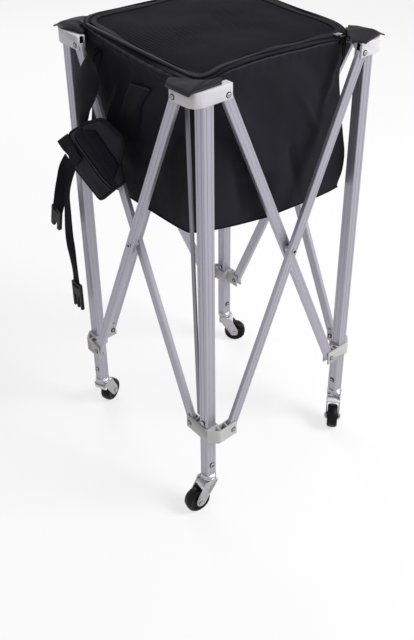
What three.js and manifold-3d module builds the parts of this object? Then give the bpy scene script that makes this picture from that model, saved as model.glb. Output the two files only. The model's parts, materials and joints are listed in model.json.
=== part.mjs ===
// Tennis ball hopper: a fabric bag held in a folding frame of crossed bars on four swivel casters.
// Millimetres, +Z up, the floor at zero and the frame centred on the Z axis.
// Corner 0 is nearest the viewer; the others follow it anticlockwise seen from above.

import * as THREE from "three";
import { mergeVertices } from "three/addons/utils/BufferGeometryUtils.js";
import Module from "manifold-3d";

// Frame
const LEG_SPACING = 368;
const LEG_SIDE = 22;
const LEG_WALL = 1.6;
const LEG_CORNER = 2;
const LEG_BOTTOM = 87;
const GAP = 0.3;
const WALL = 3;
const THIN_WALL = 2.5;
const GROOVE_WIDTH = 1.2;
const GROOVE_DEPTH = 0.4;
const GROOVE_OUT = 4.6;
const BAR_WIDTH = 20;
const BAR_THICK = 10;
const BAR_WALL = 1.5;
const BAR_CORNER = 2;
const BAR_GROOVE_OUT = 4.2;
const PLANE_STEP = 17;
const PIVOT_OUT = 37;
const ARM_TIP = 9;
const TOP_PIVOT_Z = 876;
const LOW_PIVOT_Z = 198;

// Top bracket and slider
const BRACKET_ABOVE = 18;
const BRACKET_BELOW = 8;
const CAP = 4;
const SLIDER_HEIGHT = 30;
const EDGE = 0.8;
const TOP_CORNER = 18;
const SLIDER_CORNER = 8;
const SLIDER_TURN = 2;
const SMALL_CORNER = 1;
const BODY_CORNER = 2;
const RIB = 2.5;
const VOID_NEAR = 6.5;
const VOID_TURN = 3.5;
const VOID_FAR = 8;

// Rivets
const PIN_RADIUS = 3;
const HEAD_RADIUS = 5;
const HEAD_HEIGHT = 1.6;
const HEAD_RIM = 0.5;
const HEAD_SHARE = 0.6;
const SEAT = 0.2;
const SPACER_RADIUS = 8;

// Casters
const PLUG_HEIGHT = 42;
const FLANGE = 3;
const RACE_RADIUS = 15;
const RACE_HEIGHT = 5;
const KING_RADIUS = 4;
const KING_TOP = 103;
const BOLT_Z = 112;
const BOLT_RADIUS = 2.5;
const BOLT_HEAD = 4.5;
const BOLT_HEAD_HEIGHT = 3;
const WHEEL_RADIUS = 26;
const WHEEL_WIDTH = 20;
const WHEEL_TREAD = 7;
const WHEEL_SHOULDER = 1.6;
const RIM_RADIUS = 19;
const DISH_DEPTH = 3;
const BOSS_RADIUS = 8;
const BOSS_OUT = 1;
const AXLE_RADIUS = 3;
const AXLE_HEAD = 5.2;
const AXLE_HEAD_HEIGHT = 2.2;
const TRAIL = 27;
const FORK_PLATE = 2.2;
const FORK_BACK = 12;
const FORK_FRONT = 15;
const CROWN_PLATE = 3;
const CASTER_TURNS = [172, -140, -44, 24];

// Snap buttons
const BUTTON_Z = 222;
const BUTTON_RADIUS = 4;
const BUTTON_OUT = 3.6;
const BUTTON_DOME = 1.2;
const BUTTON_FLANGE = 5.3;
const BUTTON_FLANGE_HEIGHT = 1.4;

// Stay rod
const STAY_WIDTH = 8;
const STAY_THICK = 3;
const STAY_OUT = 4;
const STAY_TOP = 862;
const STAY_BOTTOM = 226;
const STAY_TOP_IN = 36;
const STAY_BOTTOM_IN = 20;
const STAY_FOOT = 14;

// Bag
const BAG_CLEARANCE = 19;
const BAG_DEPTH = 285.9;
const RIM_BELOW = 0.1;
const CLOTH = 2.5;
const FLOOR_SAG = 15;
const LID_RISE = 3.2;
const LID_OVERHANG = 5;
const LID_HINGE_OVERHANG = 1;
const LID_CORNER = 26;
const LID_CROWN = 7;
const EAR_SPREAD = 34;
const EAR_IN = 22;
const EAR_REACH = 42;
const EAR_TIPS = [[-32, -10], [-12, -31], [-26, -26], [-46, 2]];
const SLEEVE_LENGTH = 58;
const SLEEVE_HEIGHT = 16;
const SLEEVE_THICK = 6;
const SLEEVE_MID = -9;
const SLEEVE_BELOW = 49;
const PULL_IN = 16;
const PULL_WIDTH = 6;
const PULL_LENGTH = 26;
const ZIP_SLIDER = 12;

// Shoulder strap, on the near-left side of the frame
const STRAP_OUT = 38;
const STRAP_THICK = 3;
const STRAP_BELOW = 9.9;
const STRAP_HEAD = [[95, -16], [38, 4]];
const STRAP_SHARES = [0.86, 0.43];
const LOOP_FROM = 44;
const LOOP_TO = 88;
const PAD = [[164, 711], [34, 793], [-31, 718], [-2, 668], [64, 609], [145, 642]];
const PAD_THICK = 6;
const PAD_CROWN = 4;
const PAD_CORNER = 8;
const WEB_WIDTH = 25;
const WEB_THICK = 2;
const WEB_ONE_SHARE = 0.5;
const WEB_ONE = [[176, 670], [201, 620], [221, 575], [234, 520]];
const WEB_TWO_SHARE = 0.84;
const WEB_TWO = [[143, 609], [176, 580], [191, 545], [193, 500], [187, 430], [187, 360]];
const BUCKLE_WIDTH = 32;
const BUCKLE_THICK = 6;
const BUCKLE_ONE_LENGTH = 52;
const BUCKLE_TWO_LENGTH = 62;
const BUCKLE_BAR = 5;
const BUCKLE_CORNER = 4;
const PRONG = 6;

// Smoothness: corner points, facets round a circle, rings of a soft panel
const TURN_STEPS = 2;
const ROUND = 12;
const WHEEL_ROUND = 16;
const RINGS = 4;
const WELD = 0.0005;

// Derived
const LEG_OUT = LEG_SPACING / 2;
const LEG_HALF = LEG_SIDE / 2;
const FACE = LEG_HALF + GAP + WALL;
const IN_PLANE = FACE - WALL - GAP - BAR_THICK / 2;
const OUT_PLANE = IN_PLANE + PLANE_STEP;
const SLOT_HALF = BAR_THICK / 2 + GAP;
const OUT_FACE = OUT_PLANE + SLOT_HALF + WALL;
const OUT_BACK = OUT_PLANE - SLOT_HALF - THIN_WALL;
const IN_BACK = IN_PLANE - SLOT_HALF - THIN_WALL;
const ARM_END = PIVOT_OUT + ARM_TIP;
const SLOT_START = PIVOT_OUT - BAR_WIDTH / 2 - 3 * GAP;
const BRACKET_TOP = TOP_PIVOT_Z + BRACKET_ABOVE;
const BRACKET_BOTTOM = TOP_PIVOT_Z - BRACKET_BELOW;
const LEG_TOP = BRACKET_TOP - CAP - GAP;
const SLIDER_TOP = LOW_PIVOT_Z + SLIDER_HEIGHT / 2;
const SLIDER_BOTTOM = LOW_PIVOT_Z - SLIDER_HEIGHT / 2;
const PIVOT_RUN = 2 * (LEG_OUT - PIVOT_OUT);
const PIVOT_RISE = TOP_PIVOT_Z - LOW_PIVOT_Z;
const BAR_LENGTH = Math.hypot(PIVOT_RUN, PIVOT_RISE);
const BAR_LEAN = Math.atan2(PIVOT_RUN, PIVOT_RISE);
const BAG_HALF = LEG_OUT - BAG_CLEARANCE;
const BAG_TOP = BRACKET_TOP - RIM_BELOW;
const BAG_BOTTOM = BAG_TOP - BAG_DEPTH;
const SLEEVE_TOP = BAG_TOP - SLEEVE_BELOW;
const LID_Z = BRACKET_TOP + LID_RISE;
const LID_HALF = BAG_HALF + LID_OVERHANG;
const LID_HINGE_EDGE = BAG_HALF + LID_HINGE_OVERHANG;
const PULL_AT = BAG_HALF - PULL_IN;
const STRAP_PLANE = LEG_OUT + STRAP_OUT;
const STRAP_TOP = BAG_TOP - STRAP_BELOW;
const CROSS_Z = (TOP_PIVOT_Z + LOW_PIVOT_Z) / 2;
const QUARTER = Math.PI / 2;
const FAR = LEG_SPACING;
const CORNERS = ["near", "right", "back", "left"];

const wasm = await Module();
wasm.setup();

const MATERIALS = {
  legs: new THREE.MeshStandardMaterial({ color: 0xb4b2be, roughness: 0.35, metalness: 0.9 }),
  bars: new THREE.MeshStandardMaterial({ color: 0xb0aeba, roughness: 0.38, metalness: 0.9 }),
  brackets: new THREE.MeshStandardMaterial({ color: 0xd8d6d8, roughness: 0.45, metalness: 0.05 }),
  sliders: new THREE.MeshStandardMaterial({ color: 0xc6c2bf, roughness: 0.5, metalness: 0.05 }),
  steel: new THREE.MeshStandardMaterial({ color: 0xc9c9cc, roughness: 0.22, metalness: 1 }),
  tyre: new THREE.MeshStandardMaterial({ color: 0x19181c, roughness: 0.55, metalness: 0 }),
  cloth: new THREE.MeshStandardMaterial({ color: 0x1e1e26, roughness: 0.85, metalness: 0 }),
  mesh: new THREE.MeshStandardMaterial({ color: 0x26252a, roughness: 0.9, metalness: 0 }),
  webbing: new THREE.MeshStandardMaterial({ color: 0x0e0e10, roughness: 0.8, metalness: 0 }),
  plastic: new THREE.MeshStandardMaterial({ color: 0x121215, roughness: 0.4, metalness: 0 }),
};

// A closed solid from a geometry: corners welded, and slivers with two equal corners left out.
function solid(geometry) {
  const bare = new THREE.BufferGeometry();
  bare.setAttribute("position", geometry.getAttribute("position"));
  if (geometry.index) bare.setIndex(geometry.index);
  const welded = mergeVertices(bare, WELD);
  const index = welded.index.array;
  const triangles = [];
  for (let i = 0; i < index.length; i += 3) {
    const [p, q, r] = index.slice(i, i + 3);
    if (p !== q && q !== r && r !== p) triangles.push(p, q, r);
  }
  const vertProperties = welded.attributes.position.array;
  const triVerts = new Uint32Array(triangles);
  return new wasm.Manifold(new wasm.Mesh({ numProp: 3, vertProperties, triVerts }));
}

const join = (...solids) => solids.reduce((all, next) => all.add(next));
const cut = (first, ...others) => others.reduce((left, next) => left.subtract(next), first);

function named(name, shape, material) {
  const data = shape.getMesh();
  const geometry = new THREE.BufferGeometry();
  geometry.setAttribute("position", new THREE.BufferAttribute(data.vertProperties, 3));
  geometry.setIndex(new THREE.BufferAttribute(data.triVerts, 1));
  const flat = geometry.toNonIndexed();
  flat.computeVertexNormals();
  const mesh = new THREE.Mesh(flat, material);
  mesh.name = name;
  return mesh;
}

// Corners [x, y, radius] to an outline with each corner rounded.
function rounded(corners) {
  const points = [];
  corners.forEach(([x, y, radius], i) => {
    const here = new THREE.Vector2(x, y);
    if (!radius) {
      points.push(here);
      return;
    }
    const [bx, by] = corners[(i + corners.length - 1) % corners.length];
    const [nx, ny] = corners[(i + 1) % corners.length];
    const back = new THREE.Vector2(bx - x, by - y).normalize();
    const on = new THREE.Vector2(nx - x, ny - y).normalize();
    const half = Math.acos(THREE.MathUtils.clamp(back.dot(on), -1, 1)) / 2;
    const reach = radius / Math.tan(half);
    const start = here.clone().addScaledVector(back, reach);
    const end = here.clone().addScaledVector(on, reach);
    const centre = here.clone().addScaledVector(back.add(on).normalize(), radius / Math.sin(half));
    const from = Math.atan2(start.y - centre.y, start.x - centre.x);
    let sweep = Math.atan2(end.y - centre.y, end.x - centre.x) - from;
    if (sweep > Math.PI) sweep -= 2 * Math.PI;
    if (sweep < -Math.PI) sweep += 2 * Math.PI;
    for (let s = 0; s <= TURN_STEPS; s++) {
      const angle = from + (sweep * s) / TURN_STEPS;
      const turn = new THREE.Vector2(Math.cos(angle), Math.sin(angle));
      points.push(centre.clone().addScaledVector(turn, radius));
    }
  });
  return points;
}

const rectangle = (x0, x1, y0, y1, radius = 0) =>
  rounded([[x0, y0, radius], [x1, y0, radius], [x1, y1, radius], [x0, y1, radius]]);

// An outline drawn along one axis. Its own two axes are (y, z) along x, (x, z) along y and (x, y) along z.
function prism(axis, outline, from, to, edge = 0) {
  const shape = new THREE.Shape(outline);
  const options = edge
    ? { bevelEnabled: true, bevelThickness: edge, bevelSize: edge, bevelOffset: -edge, bevelSegments: 1 }
    : { bevelEnabled: false };
  const geometry = new THREE.ExtrudeGeometry(shape, { depth: to - from - 2 * edge, ...options });
  geometry.translate(0, 0, edge + (axis === "y" ? -to : from));
  const right = new THREE.Vector3(1, 0, 0);
  const into = new THREE.Vector3(0, 1, 0);
  const up = new THREE.Vector3(0, 0, 1);
  const basis = new THREE.Matrix4();
  if (axis === "x") basis.makeBasis(into, up, right);
  if (axis === "y") basis.makeBasis(right, up, into.negate());
  geometry.applyMatrix4(basis);
  return solid(geometry);
}

// A profile [radius, height] turned round an axis, which passes through (u, v) of the plane across it.
function turned(axis, profile, u, v, facets = ROUND) {
  const points = profile.map(([r, h]) => new THREE.Vector2(r, h));
  const geometry = new THREE.LatheGeometry(points, facets);
  if (axis === "x") geometry.rotateZ(-QUARTER).translate(0, u, v);
  if (axis === "y") geometry.translate(u, 0, v);
  if (axis === "z") geometry.rotateX(QUARTER).translate(u, v, 0);
  return solid(geometry);
}

const rod = (axis, radius, from, to, u, v, facets = ROUND) =>
  turned(axis, [[0, from], [radius, from], [radius, to], [0, to]], u, v, facets);

const block = (x0, x1, y0, y1, z0, z1) => prism("z", rectangle(x0, x1, y0, y1), z0, z1);

// A square outline with rounded corners and two fine grooves in each side.
function groovedSquare(half, radius) {
  const side = [new THREE.Vector2(half, radius - half)];
  for (const middle of [-GROOVE_OUT, GROOVE_OUT]) {
    side.push(new THREE.Vector2(half, middle - GROOVE_WIDTH / 2));
    side.push(new THREE.Vector2(half - GROOVE_DEPTH, middle - GROOVE_WIDTH / 2));
    side.push(new THREE.Vector2(half - GROOVE_DEPTH, middle + GROOVE_WIDTH / 2));
    side.push(new THREE.Vector2(half, middle + GROOVE_WIDTH / 2));
  }
  side.push(new THREE.Vector2(half, half - radius));
  for (let s = 1; s < TURN_STEPS; s++) {
    const angle = (QUARTER * s) / TURN_STEPS;
    const along = half - radius;
    side.push(new THREE.Vector2(along + radius * Math.cos(angle), along + radius * Math.sin(angle)));
  }
  const middle = new THREE.Vector2();
  return CORNERS.flatMap((_, turn) => side.map((p) => p.clone().rotateAround(middle, turn * QUARTER)));
}

function legShape(buttonSide) {
  const inner = LEG_HALF - LEG_WALL;
  let shape = cut(
    prism("z", groovedSquare(LEG_HALF, LEG_CORNER), LEG_BOTTOM, LEG_TOP),
    prism("z", rectangle(-inner, inner, -inner, inner), LEG_BOTTOM - FAR, LEG_TOP + FAR),
    rod("y", BOLT_RADIUS + GAP, -LEG_SIDE, LEG_SIDE, 0, BOLT_Z),
  );
  if (buttonSide) {
    const reach = buttonSide * LEG_SIDE;
    const hole = rod("x", BUTTON_RADIUS + GAP, Math.min(0, reach), Math.max(0, reach), 0, BUTTON_Z);
    shape = cut(shape, hole);
  }
  return shape;
}

// A pivot rivet along an axis, from the outer face of an arm to its inner face.
function rivet(axis, outer, inner, u, v) {
  const way = Math.sign(inner - outer);
  const profile = [
    [0, outer - way * HEAD_HEIGHT],
    [HEAD_RADIUS * HEAD_SHARE, outer - way * (HEAD_HEIGHT - HEAD_RIM / 2)],
    [HEAD_RADIUS, outer - way * HEAD_RIM],
    [HEAD_RADIUS, outer + way * SEAT],
    [PIN_RADIUS, outer + way * SEAT],
    [PIN_RADIUS, inner - way * SEAT],
    [HEAD_RADIUS, inner - way * SEAT],
    [HEAD_RADIUS, inner + way * HEAD_RIM],
    [0, inner + way * HEAD_HEIGHT / 2],
  ];
  return turned(axis, way > 0 ? profile : profile.reverse(), u, v);
}

// The moulded cap on a leg: its arm along +x is flush with the leg, its arm along +y is set outward.
function bracketShape() {
  const outline = rounded([
    [ARM_END, -FACE, SMALL_CORNER],
    [ARM_END, -IN_BACK, SMALL_CORNER],
    [FACE, -IN_BACK, SMALL_CORNER],
    [FACE, FACE, BODY_CORNER],
    [-OUT_BACK, FACE, SMALL_CORNER / 2],
    [-OUT_BACK, ARM_END, SMALL_CORNER],
    [-OUT_FACE, ARM_END, SMALL_CORNER],
    [-OUT_FACE, -FACE, TOP_CORNER],
  ]);
  const under = BRACKET_TOP - WALL;
  const hole = LEG_HALF + GAP;
  const pocketEnd = SLOT_START - RIB;
  const inSlot = [-IN_PLANE - SLOT_HALF, -IN_PLANE + SLOT_HALF];
  const outSlot = [-OUT_PLANE - SLOT_HALF, -OUT_PLANE + SLOT_HALF];
  return join(
    cut(
      prism("z", outline, BRACKET_BOTTOM, BRACKET_TOP, EDGE),
      block(-hole, hole, -hole, hole, BRACKET_BOTTOM - FAR, BRACKET_TOP - CAP),
      block(SLOT_START, FAR, ...inSlot, BRACKET_BOTTOM - FAR, under),
      block(FACE, pocketEnd, ...inSlot, BRACKET_BOTTOM - FAR, under),
      block(...outSlot, SLOT_START, FAR, BRACKET_BOTTOM - FAR, under),
      block(...outSlot, BODY_CORNER, pocketEnd, BRACKET_BOTTOM - FAR, under),
    ),
    rivet("y", -FACE, -IN_BACK, PIVOT_OUT, TOP_PIVOT_Z),
    rivet("x", -OUT_FACE, -OUT_BACK, PIVOT_OUT, TOP_PIVOT_Z),
  );
}

// The moulded collar that slides on a leg: its arm along +y is flush, its arm along +x is set outward.
function sliderShape() {
  const outline = rounded([
    [-IN_BACK, ARM_END, SMALL_CORNER],
    [-FACE, ARM_END, SMALL_CORNER],
    [-FACE, -FACE, BODY_CORNER],
    [SLIDER_TURN, -OUT_FACE, SLIDER_CORNER],
    [ARM_END, -OUT_FACE, SMALL_CORNER],
    [ARM_END, -OUT_BACK, SMALL_CORNER],
    [FACE, -OUT_BACK, SMALL_CORNER / 2],
    [FACE, FACE, BODY_CORNER],
    [-IN_BACK, FACE, SMALL_CORNER],
  ]);
  const voidOutline = [
    new THREE.Vector2(-VOID_NEAR, -FACE - WALL),
    new THREE.Vector2(VOID_TURN, -OUT_FACE + WALL),
    new THREE.Vector2(VOID_FAR, -OUT_FACE + WALL),
    new THREE.Vector2(VOID_FAR, -FACE - WALL),
  ];
  const hole = LEG_HALF + GAP;
  const pocketEnd = SLOT_START - RIB;
  const above = SLIDER_TOP + FAR;
  const below = SLIDER_BOTTOM - FAR;
  const bed = SLIDER_BOTTOM + WALL;
  return join(
    cut(
      prism("z", outline, SLIDER_BOTTOM, SLIDER_TOP, EDGE),
      block(-hole, hole, -hole, hole, below, above),
      prism("z", voidOutline, bed, above),
      block(VOID_FAR + RIB, pocketEnd, -OUT_PLANE - SLOT_HALF, -OUT_PLANE + SLOT_HALF, bed, above),
      block(-IN_PLANE - SLOT_HALF, -IN_PLANE + SLOT_HALF, FACE + RIB, pocketEnd, bed, above),
      block(SLOT_START, FAR, -OUT_PLANE - SLOT_HALF, -OUT_PLANE + SLOT_HALF, below, above),
      block(-IN_PLANE - SLOT_HALF, -IN_PLANE + SLOT_HALF, SLOT_START, FAR, below, above),
    ),
    rivet("x", -FACE, -IN_BACK, PIVOT_OUT, LOW_PIVOT_Z),
    rivet("y", -OUT_FACE, -OUT_BACK, PIVOT_OUT, LOW_PIVOT_Z),
  );
}

// A hollow flat bar, upright and centred on its crossing, its wide faces across y.
function barShape() {
  const half = BAR_LENGTH / 2;
  const wide = BAR_WIDTH / 2;
  const thick = BAR_THICK / 2;
  const reach = half + BAR_WIDTH;
  const ends = [
    [wide, -half - wide, wide - GAP],
    [wide, half + wide, wide - GAP],
    [-wide, half + wide, wide - GAP],
    [-wide, -half - wide, wide - GAP],
  ];
  const grooves = [];
  for (const middle of [-BAR_GROOVE_OUT, BAR_GROOVE_OUT]) {
    for (const face of [-thick, thick]) {
      const near = [middle - GROOVE_WIDTH / 2, middle + GROOVE_WIDTH / 2];
      grooves.push(block(...near, face - GROOVE_DEPTH, face + GROOVE_DEPTH, -reach, reach));
    }
  }
  const inner = rectangle(BAR_WALL - wide, wide - BAR_WALL, BAR_WALL - thick, thick - BAR_WALL);
  return cut(
    prism("z", rectangle(-wide, wide, -thick, thick, BAR_CORNER), -reach, reach).intersect(
      prism("y", rounded(ends), -BAR_WIDTH, BAR_WIDTH),
    ),
    prism("z", inner, -FAR - half, FAR + half),
    ...grooves,
    ...[-half, 0, half].map((z) => rod("y", PIN_RADIUS + GAP, -BAR_WIDTH, BAR_WIDTH, 0, z)),
  );
}

// The rivet at a crossing, with the spacer that keeps the two bars apart.
function crossRivetShape() {
  const outer = -OUT_PLANE - BAR_THICK / 2 - GAP;
  const inner = -IN_PLANE + BAR_THICK / 2 + GAP;
  const spacerOut = -OUT_PLANE + BAR_THICK / 2 + GAP;
  const spacerIn = -IN_PLANE - BAR_THICK / 2 - GAP;
  const profile = [
    [0, outer - HEAD_HEIGHT],
    [HEAD_RADIUS * HEAD_SHARE, outer - HEAD_HEIGHT + HEAD_RIM / 2],
    [HEAD_RADIUS, outer - HEAD_RIM],
    [HEAD_RADIUS, outer],
    [PIN_RADIUS, outer],
    [PIN_RADIUS, spacerOut],
    [SPACER_RADIUS, spacerOut],
    [SPACER_RADIUS, spacerIn],
    [PIN_RADIUS, spacerIn],
    [PIN_RADIUS, inner],
    [HEAD_RADIUS, inner],
    [HEAD_RADIUS, inner + HEAD_RIM],
    [0, inner + HEAD_HEIGHT / 2],
  ];
  return turned("y", profile, 0, 0);
}

const RACE_TOP = LEG_BOTTOM - GAP - FLANGE;
const RACE_BOTTOM = RACE_TOP - RACE_HEIGHT;
const CROWN_TOP = RACE_BOTTOM - GAP;
const CROWN_BOTTOM = CROWN_TOP - RACE_HEIGHT;

// The plug in a leg end, with the upper raceway and the cross bolt.
function plugShape() {
  const half = LEG_HALF - LEG_WALL - GAP;
  const race = [
    [0, RACE_BOTTOM],
    [RACE_RADIUS - EDGE, RACE_BOTTOM],
    [RACE_RADIUS, RACE_BOTTOM + EDGE],
    [RACE_RADIUS, RACE_TOP - 2 * EDGE],
    [RACE_RADIUS - 2 * EDGE, RACE_TOP],
    [0, RACE_TOP],
  ];
  const head = [
    [0, -LEG_HALF - GAP - BOLT_HEAD_HEIGHT],
    [BOLT_HEAD - EDGE, -LEG_HALF - GAP - BOLT_HEAD_HEIGHT + EDGE],
    [BOLT_HEAD, -LEG_HALF - GAP - EDGE],
    [BOLT_HEAD, -LEG_HALF - GAP],
    [BOLT_RADIUS, -LEG_HALF - GAP],
    [BOLT_RADIUS, LEG_HALF + GAP],
    [BOLT_HEAD, LEG_HALF + GAP],
    [BOLT_HEAD, LEG_HALF + GAP + BOLT_HEAD_HEIGHT],
    [0, LEG_HALF + GAP + BOLT_HEAD_HEIGHT],
  ];
  const core = rectangle(-half, half, -half, half, SMALL_CORNER);
  const flange = rectangle(-LEG_HALF, LEG_HALF, -LEG_HALF, LEG_HALF, LEG_CORNER);
  return cut(
    join(
      prism("z", core, RACE_TOP - SEAT, LEG_BOTTOM + PLUG_HEIGHT, EDGE),
      prism("z", flange, RACE_TOP - SEAT, RACE_TOP + FLANGE),
      turned("z", race, 0, 0, WHEEL_ROUND),
      turned("y", head, 0, BOLT_Z),
    ),
    rod("z", KING_RADIUS + GAP, RACE_BOTTOM - WALL, KING_TOP + WALL, 0, 0),
  );
}

// A swivel fork, with its wheel trailing along +x.
function forkShape() {
  const inside = WHEEL_WIDTH / 2 + BOSS_OUT + GAP;
  const outside = inside + FORK_PLATE;
  const under = CROWN_BOTTOM - CROWN_PLATE;
  const side = rounded([
    [-FORK_BACK, CROWN_BOTTOM, SMALL_CORNER],
    [-FORK_BACK, under - WALL, WALL],
    [TRAIL - BOSS_RADIUS, WHEEL_RADIUS - BOSS_RADIUS, BOSS_RADIUS - SMALL_CORNER],
    [TRAIL + BOSS_RADIUS, WHEEL_RADIUS - BOSS_RADIUS, BOSS_RADIUS - SMALL_CORNER],
    [TRAIL + BOSS_RADIUS, WHEEL_RADIUS + BOSS_RADIUS, BOSS_RADIUS / 2],
    [FORK_FRONT, CROWN_BOTTOM, SMALL_CORNER],
  ]);
  const crown = [
    [0, CROWN_BOTTOM - SEAT],
    [RACE_RADIUS - 3 * EDGE, CROWN_BOTTOM - SEAT],
    [RACE_RADIUS, CROWN_BOTTOM + 2 * EDGE],
    [RACE_RADIUS, CROWN_TOP - EDGE],
    [RACE_RADIUS - EDGE, CROWN_TOP],
    [KING_RADIUS, CROWN_TOP],
    [KING_RADIUS, KING_TOP],
    [0, KING_TOP],
  ];
  const length = [-FORK_BACK + SMALL_CORNER, FORK_FRONT - SMALL_CORNER];
  return cut(
    join(
      turned("z", crown, 0, 0, WHEEL_ROUND),
      prism("y", side, -outside, -inside),
      prism("y", side, inside, outside),
      block(...length, -outside + SEAT, outside - SEAT, under, CROWN_BOTTOM),
    ),
    rod("y", AXLE_RADIUS + GAP, -FAR, FAR, TRAIL, WHEEL_RADIUS),
  );
}

function wheelShape() {
  const half = WHEEL_WIDTH / 2;
  const bore = AXLE_RADIUS + GAP;
  const side = (way) => [
    [bore, way * (half + BOSS_OUT)],
    [BOSS_RADIUS - SMALL_CORNER, way * (half + BOSS_OUT)],
    [BOSS_RADIUS, way * (half - DISH_DEPTH)],
    [RIM_RADIUS - SMALL_CORNER, way * (half - DISH_DEPTH)],
    [RIM_RADIUS, way * half],
    [WHEEL_RADIUS - 2 * WHEEL_SHOULDER, way * half],
    [WHEEL_RADIUS - WHEEL_SHOULDER / 2, way * WHEEL_TREAD],
  ];
  const profile = [...side(-1), [WHEEL_RADIUS, 0], ...side(1).reverse()];
  return turned("y", [...profile, profile[0]], 0, 0, WHEEL_ROUND);
}

function axleShape() {
  const seat = WHEEL_WIDTH / 2 + BOSS_OUT + GAP + FORK_PLATE + GAP;
  const profile = [
    [0, -seat - AXLE_HEAD_HEIGHT],
    [AXLE_HEAD - EDGE, -seat - AXLE_HEAD_HEIGHT],
    [AXLE_HEAD, -seat - AXLE_HEAD_HEIGHT + EDGE],
    [AXLE_HEAD, -seat],
    [AXLE_RADIUS, -seat],
    [AXLE_RADIUS, seat],
    [AXLE_HEAD, seat],
    [AXLE_HEAD, seat + AXLE_HEAD_HEIGHT],
    [0, seat + AXLE_HEAD_HEIGHT],
  ];
  return turned("y", profile, 0, 0);
}

// A sprung button through a leg wall, on the side of the leg that way gives.
function buttonShape(way) {
  const flange = LEG_HALF - LEG_WALL - GAP;
  const profile = [
    [0, flange - BUTTON_FLANGE_HEIGHT],
    [BUTTON_FLANGE, flange - BUTTON_FLANGE_HEIGHT],
    [BUTTON_FLANGE, flange],
    [BUTTON_RADIUS, flange],
    [BUTTON_RADIUS, LEG_HALF + BUTTON_OUT - BUTTON_DOME],
    [BUTTON_RADIUS - BUTTON_DOME, LEG_HALF + BUTTON_OUT],
    [0, LEG_HALF + BUTTON_OUT],
  ];
  const sided = profile.map(([r, h]) => [r, way * h]);
  return turned("x", way > 0 ? sided : sided.reverse(), 0, BUTTON_Z);
}

// A flat soft panel: an outline filled in rings about its middle, between two surfaces whose heights
// follow the share of the way from the middle to the edge.
function softPanel(outline, lower, upper) {
  const middle = new THREE.Vector2();
  outline.forEach((p) => middle.addScaledVector(p, 1 / outline.length));
  const count = outline.length;
  const positions = [];
  const index = [];
  const layer = (height) => {
    const first = positions.length / 3;
    positions.push(middle.x, middle.y, height(0));
    for (let ring = 1; ring <= RINGS; ring++) {
      const share = ring / RINGS;
      outline.forEach((p) => {
        const at = middle.clone().lerp(p, share);
        positions.push(at.x, at.y, height(share));
      });
    }
    return first;
  };
  const fill = (first, up) => {
    const face = (p, q, r) => index.push(...(up ? [p, q, r] : [p, r, q]));
    for (let i = 0; i < count; i++) {
      const next = (i + 1) % count;
      face(first, first + 1 + i, first + 1 + next);
      for (let ring = 1; ring < RINGS; ring++) {
        const inner = first + 1 + (ring - 1) * count;
        const outer = inner + count;
        face(inner + i, outer + i, outer + next);
        face(inner + i, outer + next, inner + next);
      }
    }
  };
  const top = layer(upper);
  const bottom = layer(lower);
  fill(top, true);
  fill(bottom, false);
  const rim = 1 + (RINGS - 1) * count;
  for (let i = 0; i < count; i++) {
    const next = (i + 1) % count;
    index.push(top + rim + i, bottom + rim + i, bottom + rim + next);
    index.push(top + rim + i, bottom + rim + next, top + rim + next);
  }
  const geometry = new THREE.BufferGeometry();
  geometry.setAttribute("position", new THREE.Float32BufferAttribute(positions, 3));
  geometry.setIndex(index);
  return geometry;
}

const swell = (share) => 1 - share * share;

// An outline in (y, z) on the strap's side of the frame, given a thickness along x.
const onStrapSide = (outline, thick) =>
  prism("x", outline, -STRAP_PLANE - thick / 2, -STRAP_PLANE + thick / 2);

// A band of one width along a line of points [y, z].
function band(line, width) {
  const left = [];
  const right = [];
  line.forEach(([y, z], i) => {
    const [by, bz] = line[Math.max(0, i - 1)];
    const [ny, nz] = line[Math.min(line.length - 1, i + 1)];
    const across = new THREE.Vector2(nz - bz, by - ny).normalize().multiplyScalar(width / 2);
    left.push(new THREE.Vector2(y, z).add(across));
    right.push(new THREE.Vector2(y, z).sub(across));
  });
  return [...left, ...right.reverse()];
}

const group = new THREE.Group();
const legFrames = [];
const sideFrames = [];
CORNERS.forEach((corner, k) => {
  const side = new THREE.Group();
  side.rotation.z = k * QUARTER;
  const leg = new THREE.Group();
  leg.position.set(-LEG_OUT, -LEG_OUT, 0);
  side.add(leg);
  group.add(side);
  sideFrames.push(side);
  legFrames.push(leg);
});

// Legs, brackets, sliders and plugs
CORNERS.forEach((corner, k) => {
  const buttonSide = { near: -1, back: 1 }[corner] || 0;
  legFrames[k].add(named("leg_" + corner, legShape(buttonSide), MATERIALS.legs));
  legFrames[k].add(named("bracket_" + corner, bracketShape(), MATERIALS.brackets));
  legFrames[k].add(named("slider_" + corner, sliderShape(), MATERIALS.sliders));
  legFrames[k].add(named("plug_" + corner, plugShape(), MATERIALS.steel));
  if (buttonSide) legFrames[k].add(named("button_" + corner, buttonShape(buttonSide), MATERIALS.steel));
});

// Crossed bars: on each side one bar runs down from the first leg, behind one that runs down
// from the next leg.
CORNERS.forEach((corner, k) => {
  const next = CORNERS[(k + 1) % CORNERS.length];
  for (const [name, plane, lean] of [
    ["bar_" + corner + "_to_" + next, IN_PLANE, -BAR_LEAN],
    ["bar_" + next + "_to_" + corner, OUT_PLANE, BAR_LEAN],
  ]) {
    const bar = named(name, barShape(), MATERIALS.bars);
    bar.position.set(0, -LEG_OUT - plane, CROSS_Z);
    bar.rotation.y = lean;
    sideFrames[k].add(bar);
  }
  const rivetMesh = named("crossing_" + corner + "_" + next, crossRivetShape(), MATERIALS.steel);
  rivetMesh.position.set(0, -LEG_OUT, CROSS_Z);
  sideFrames[k].add(rivetMesh);
});

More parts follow.
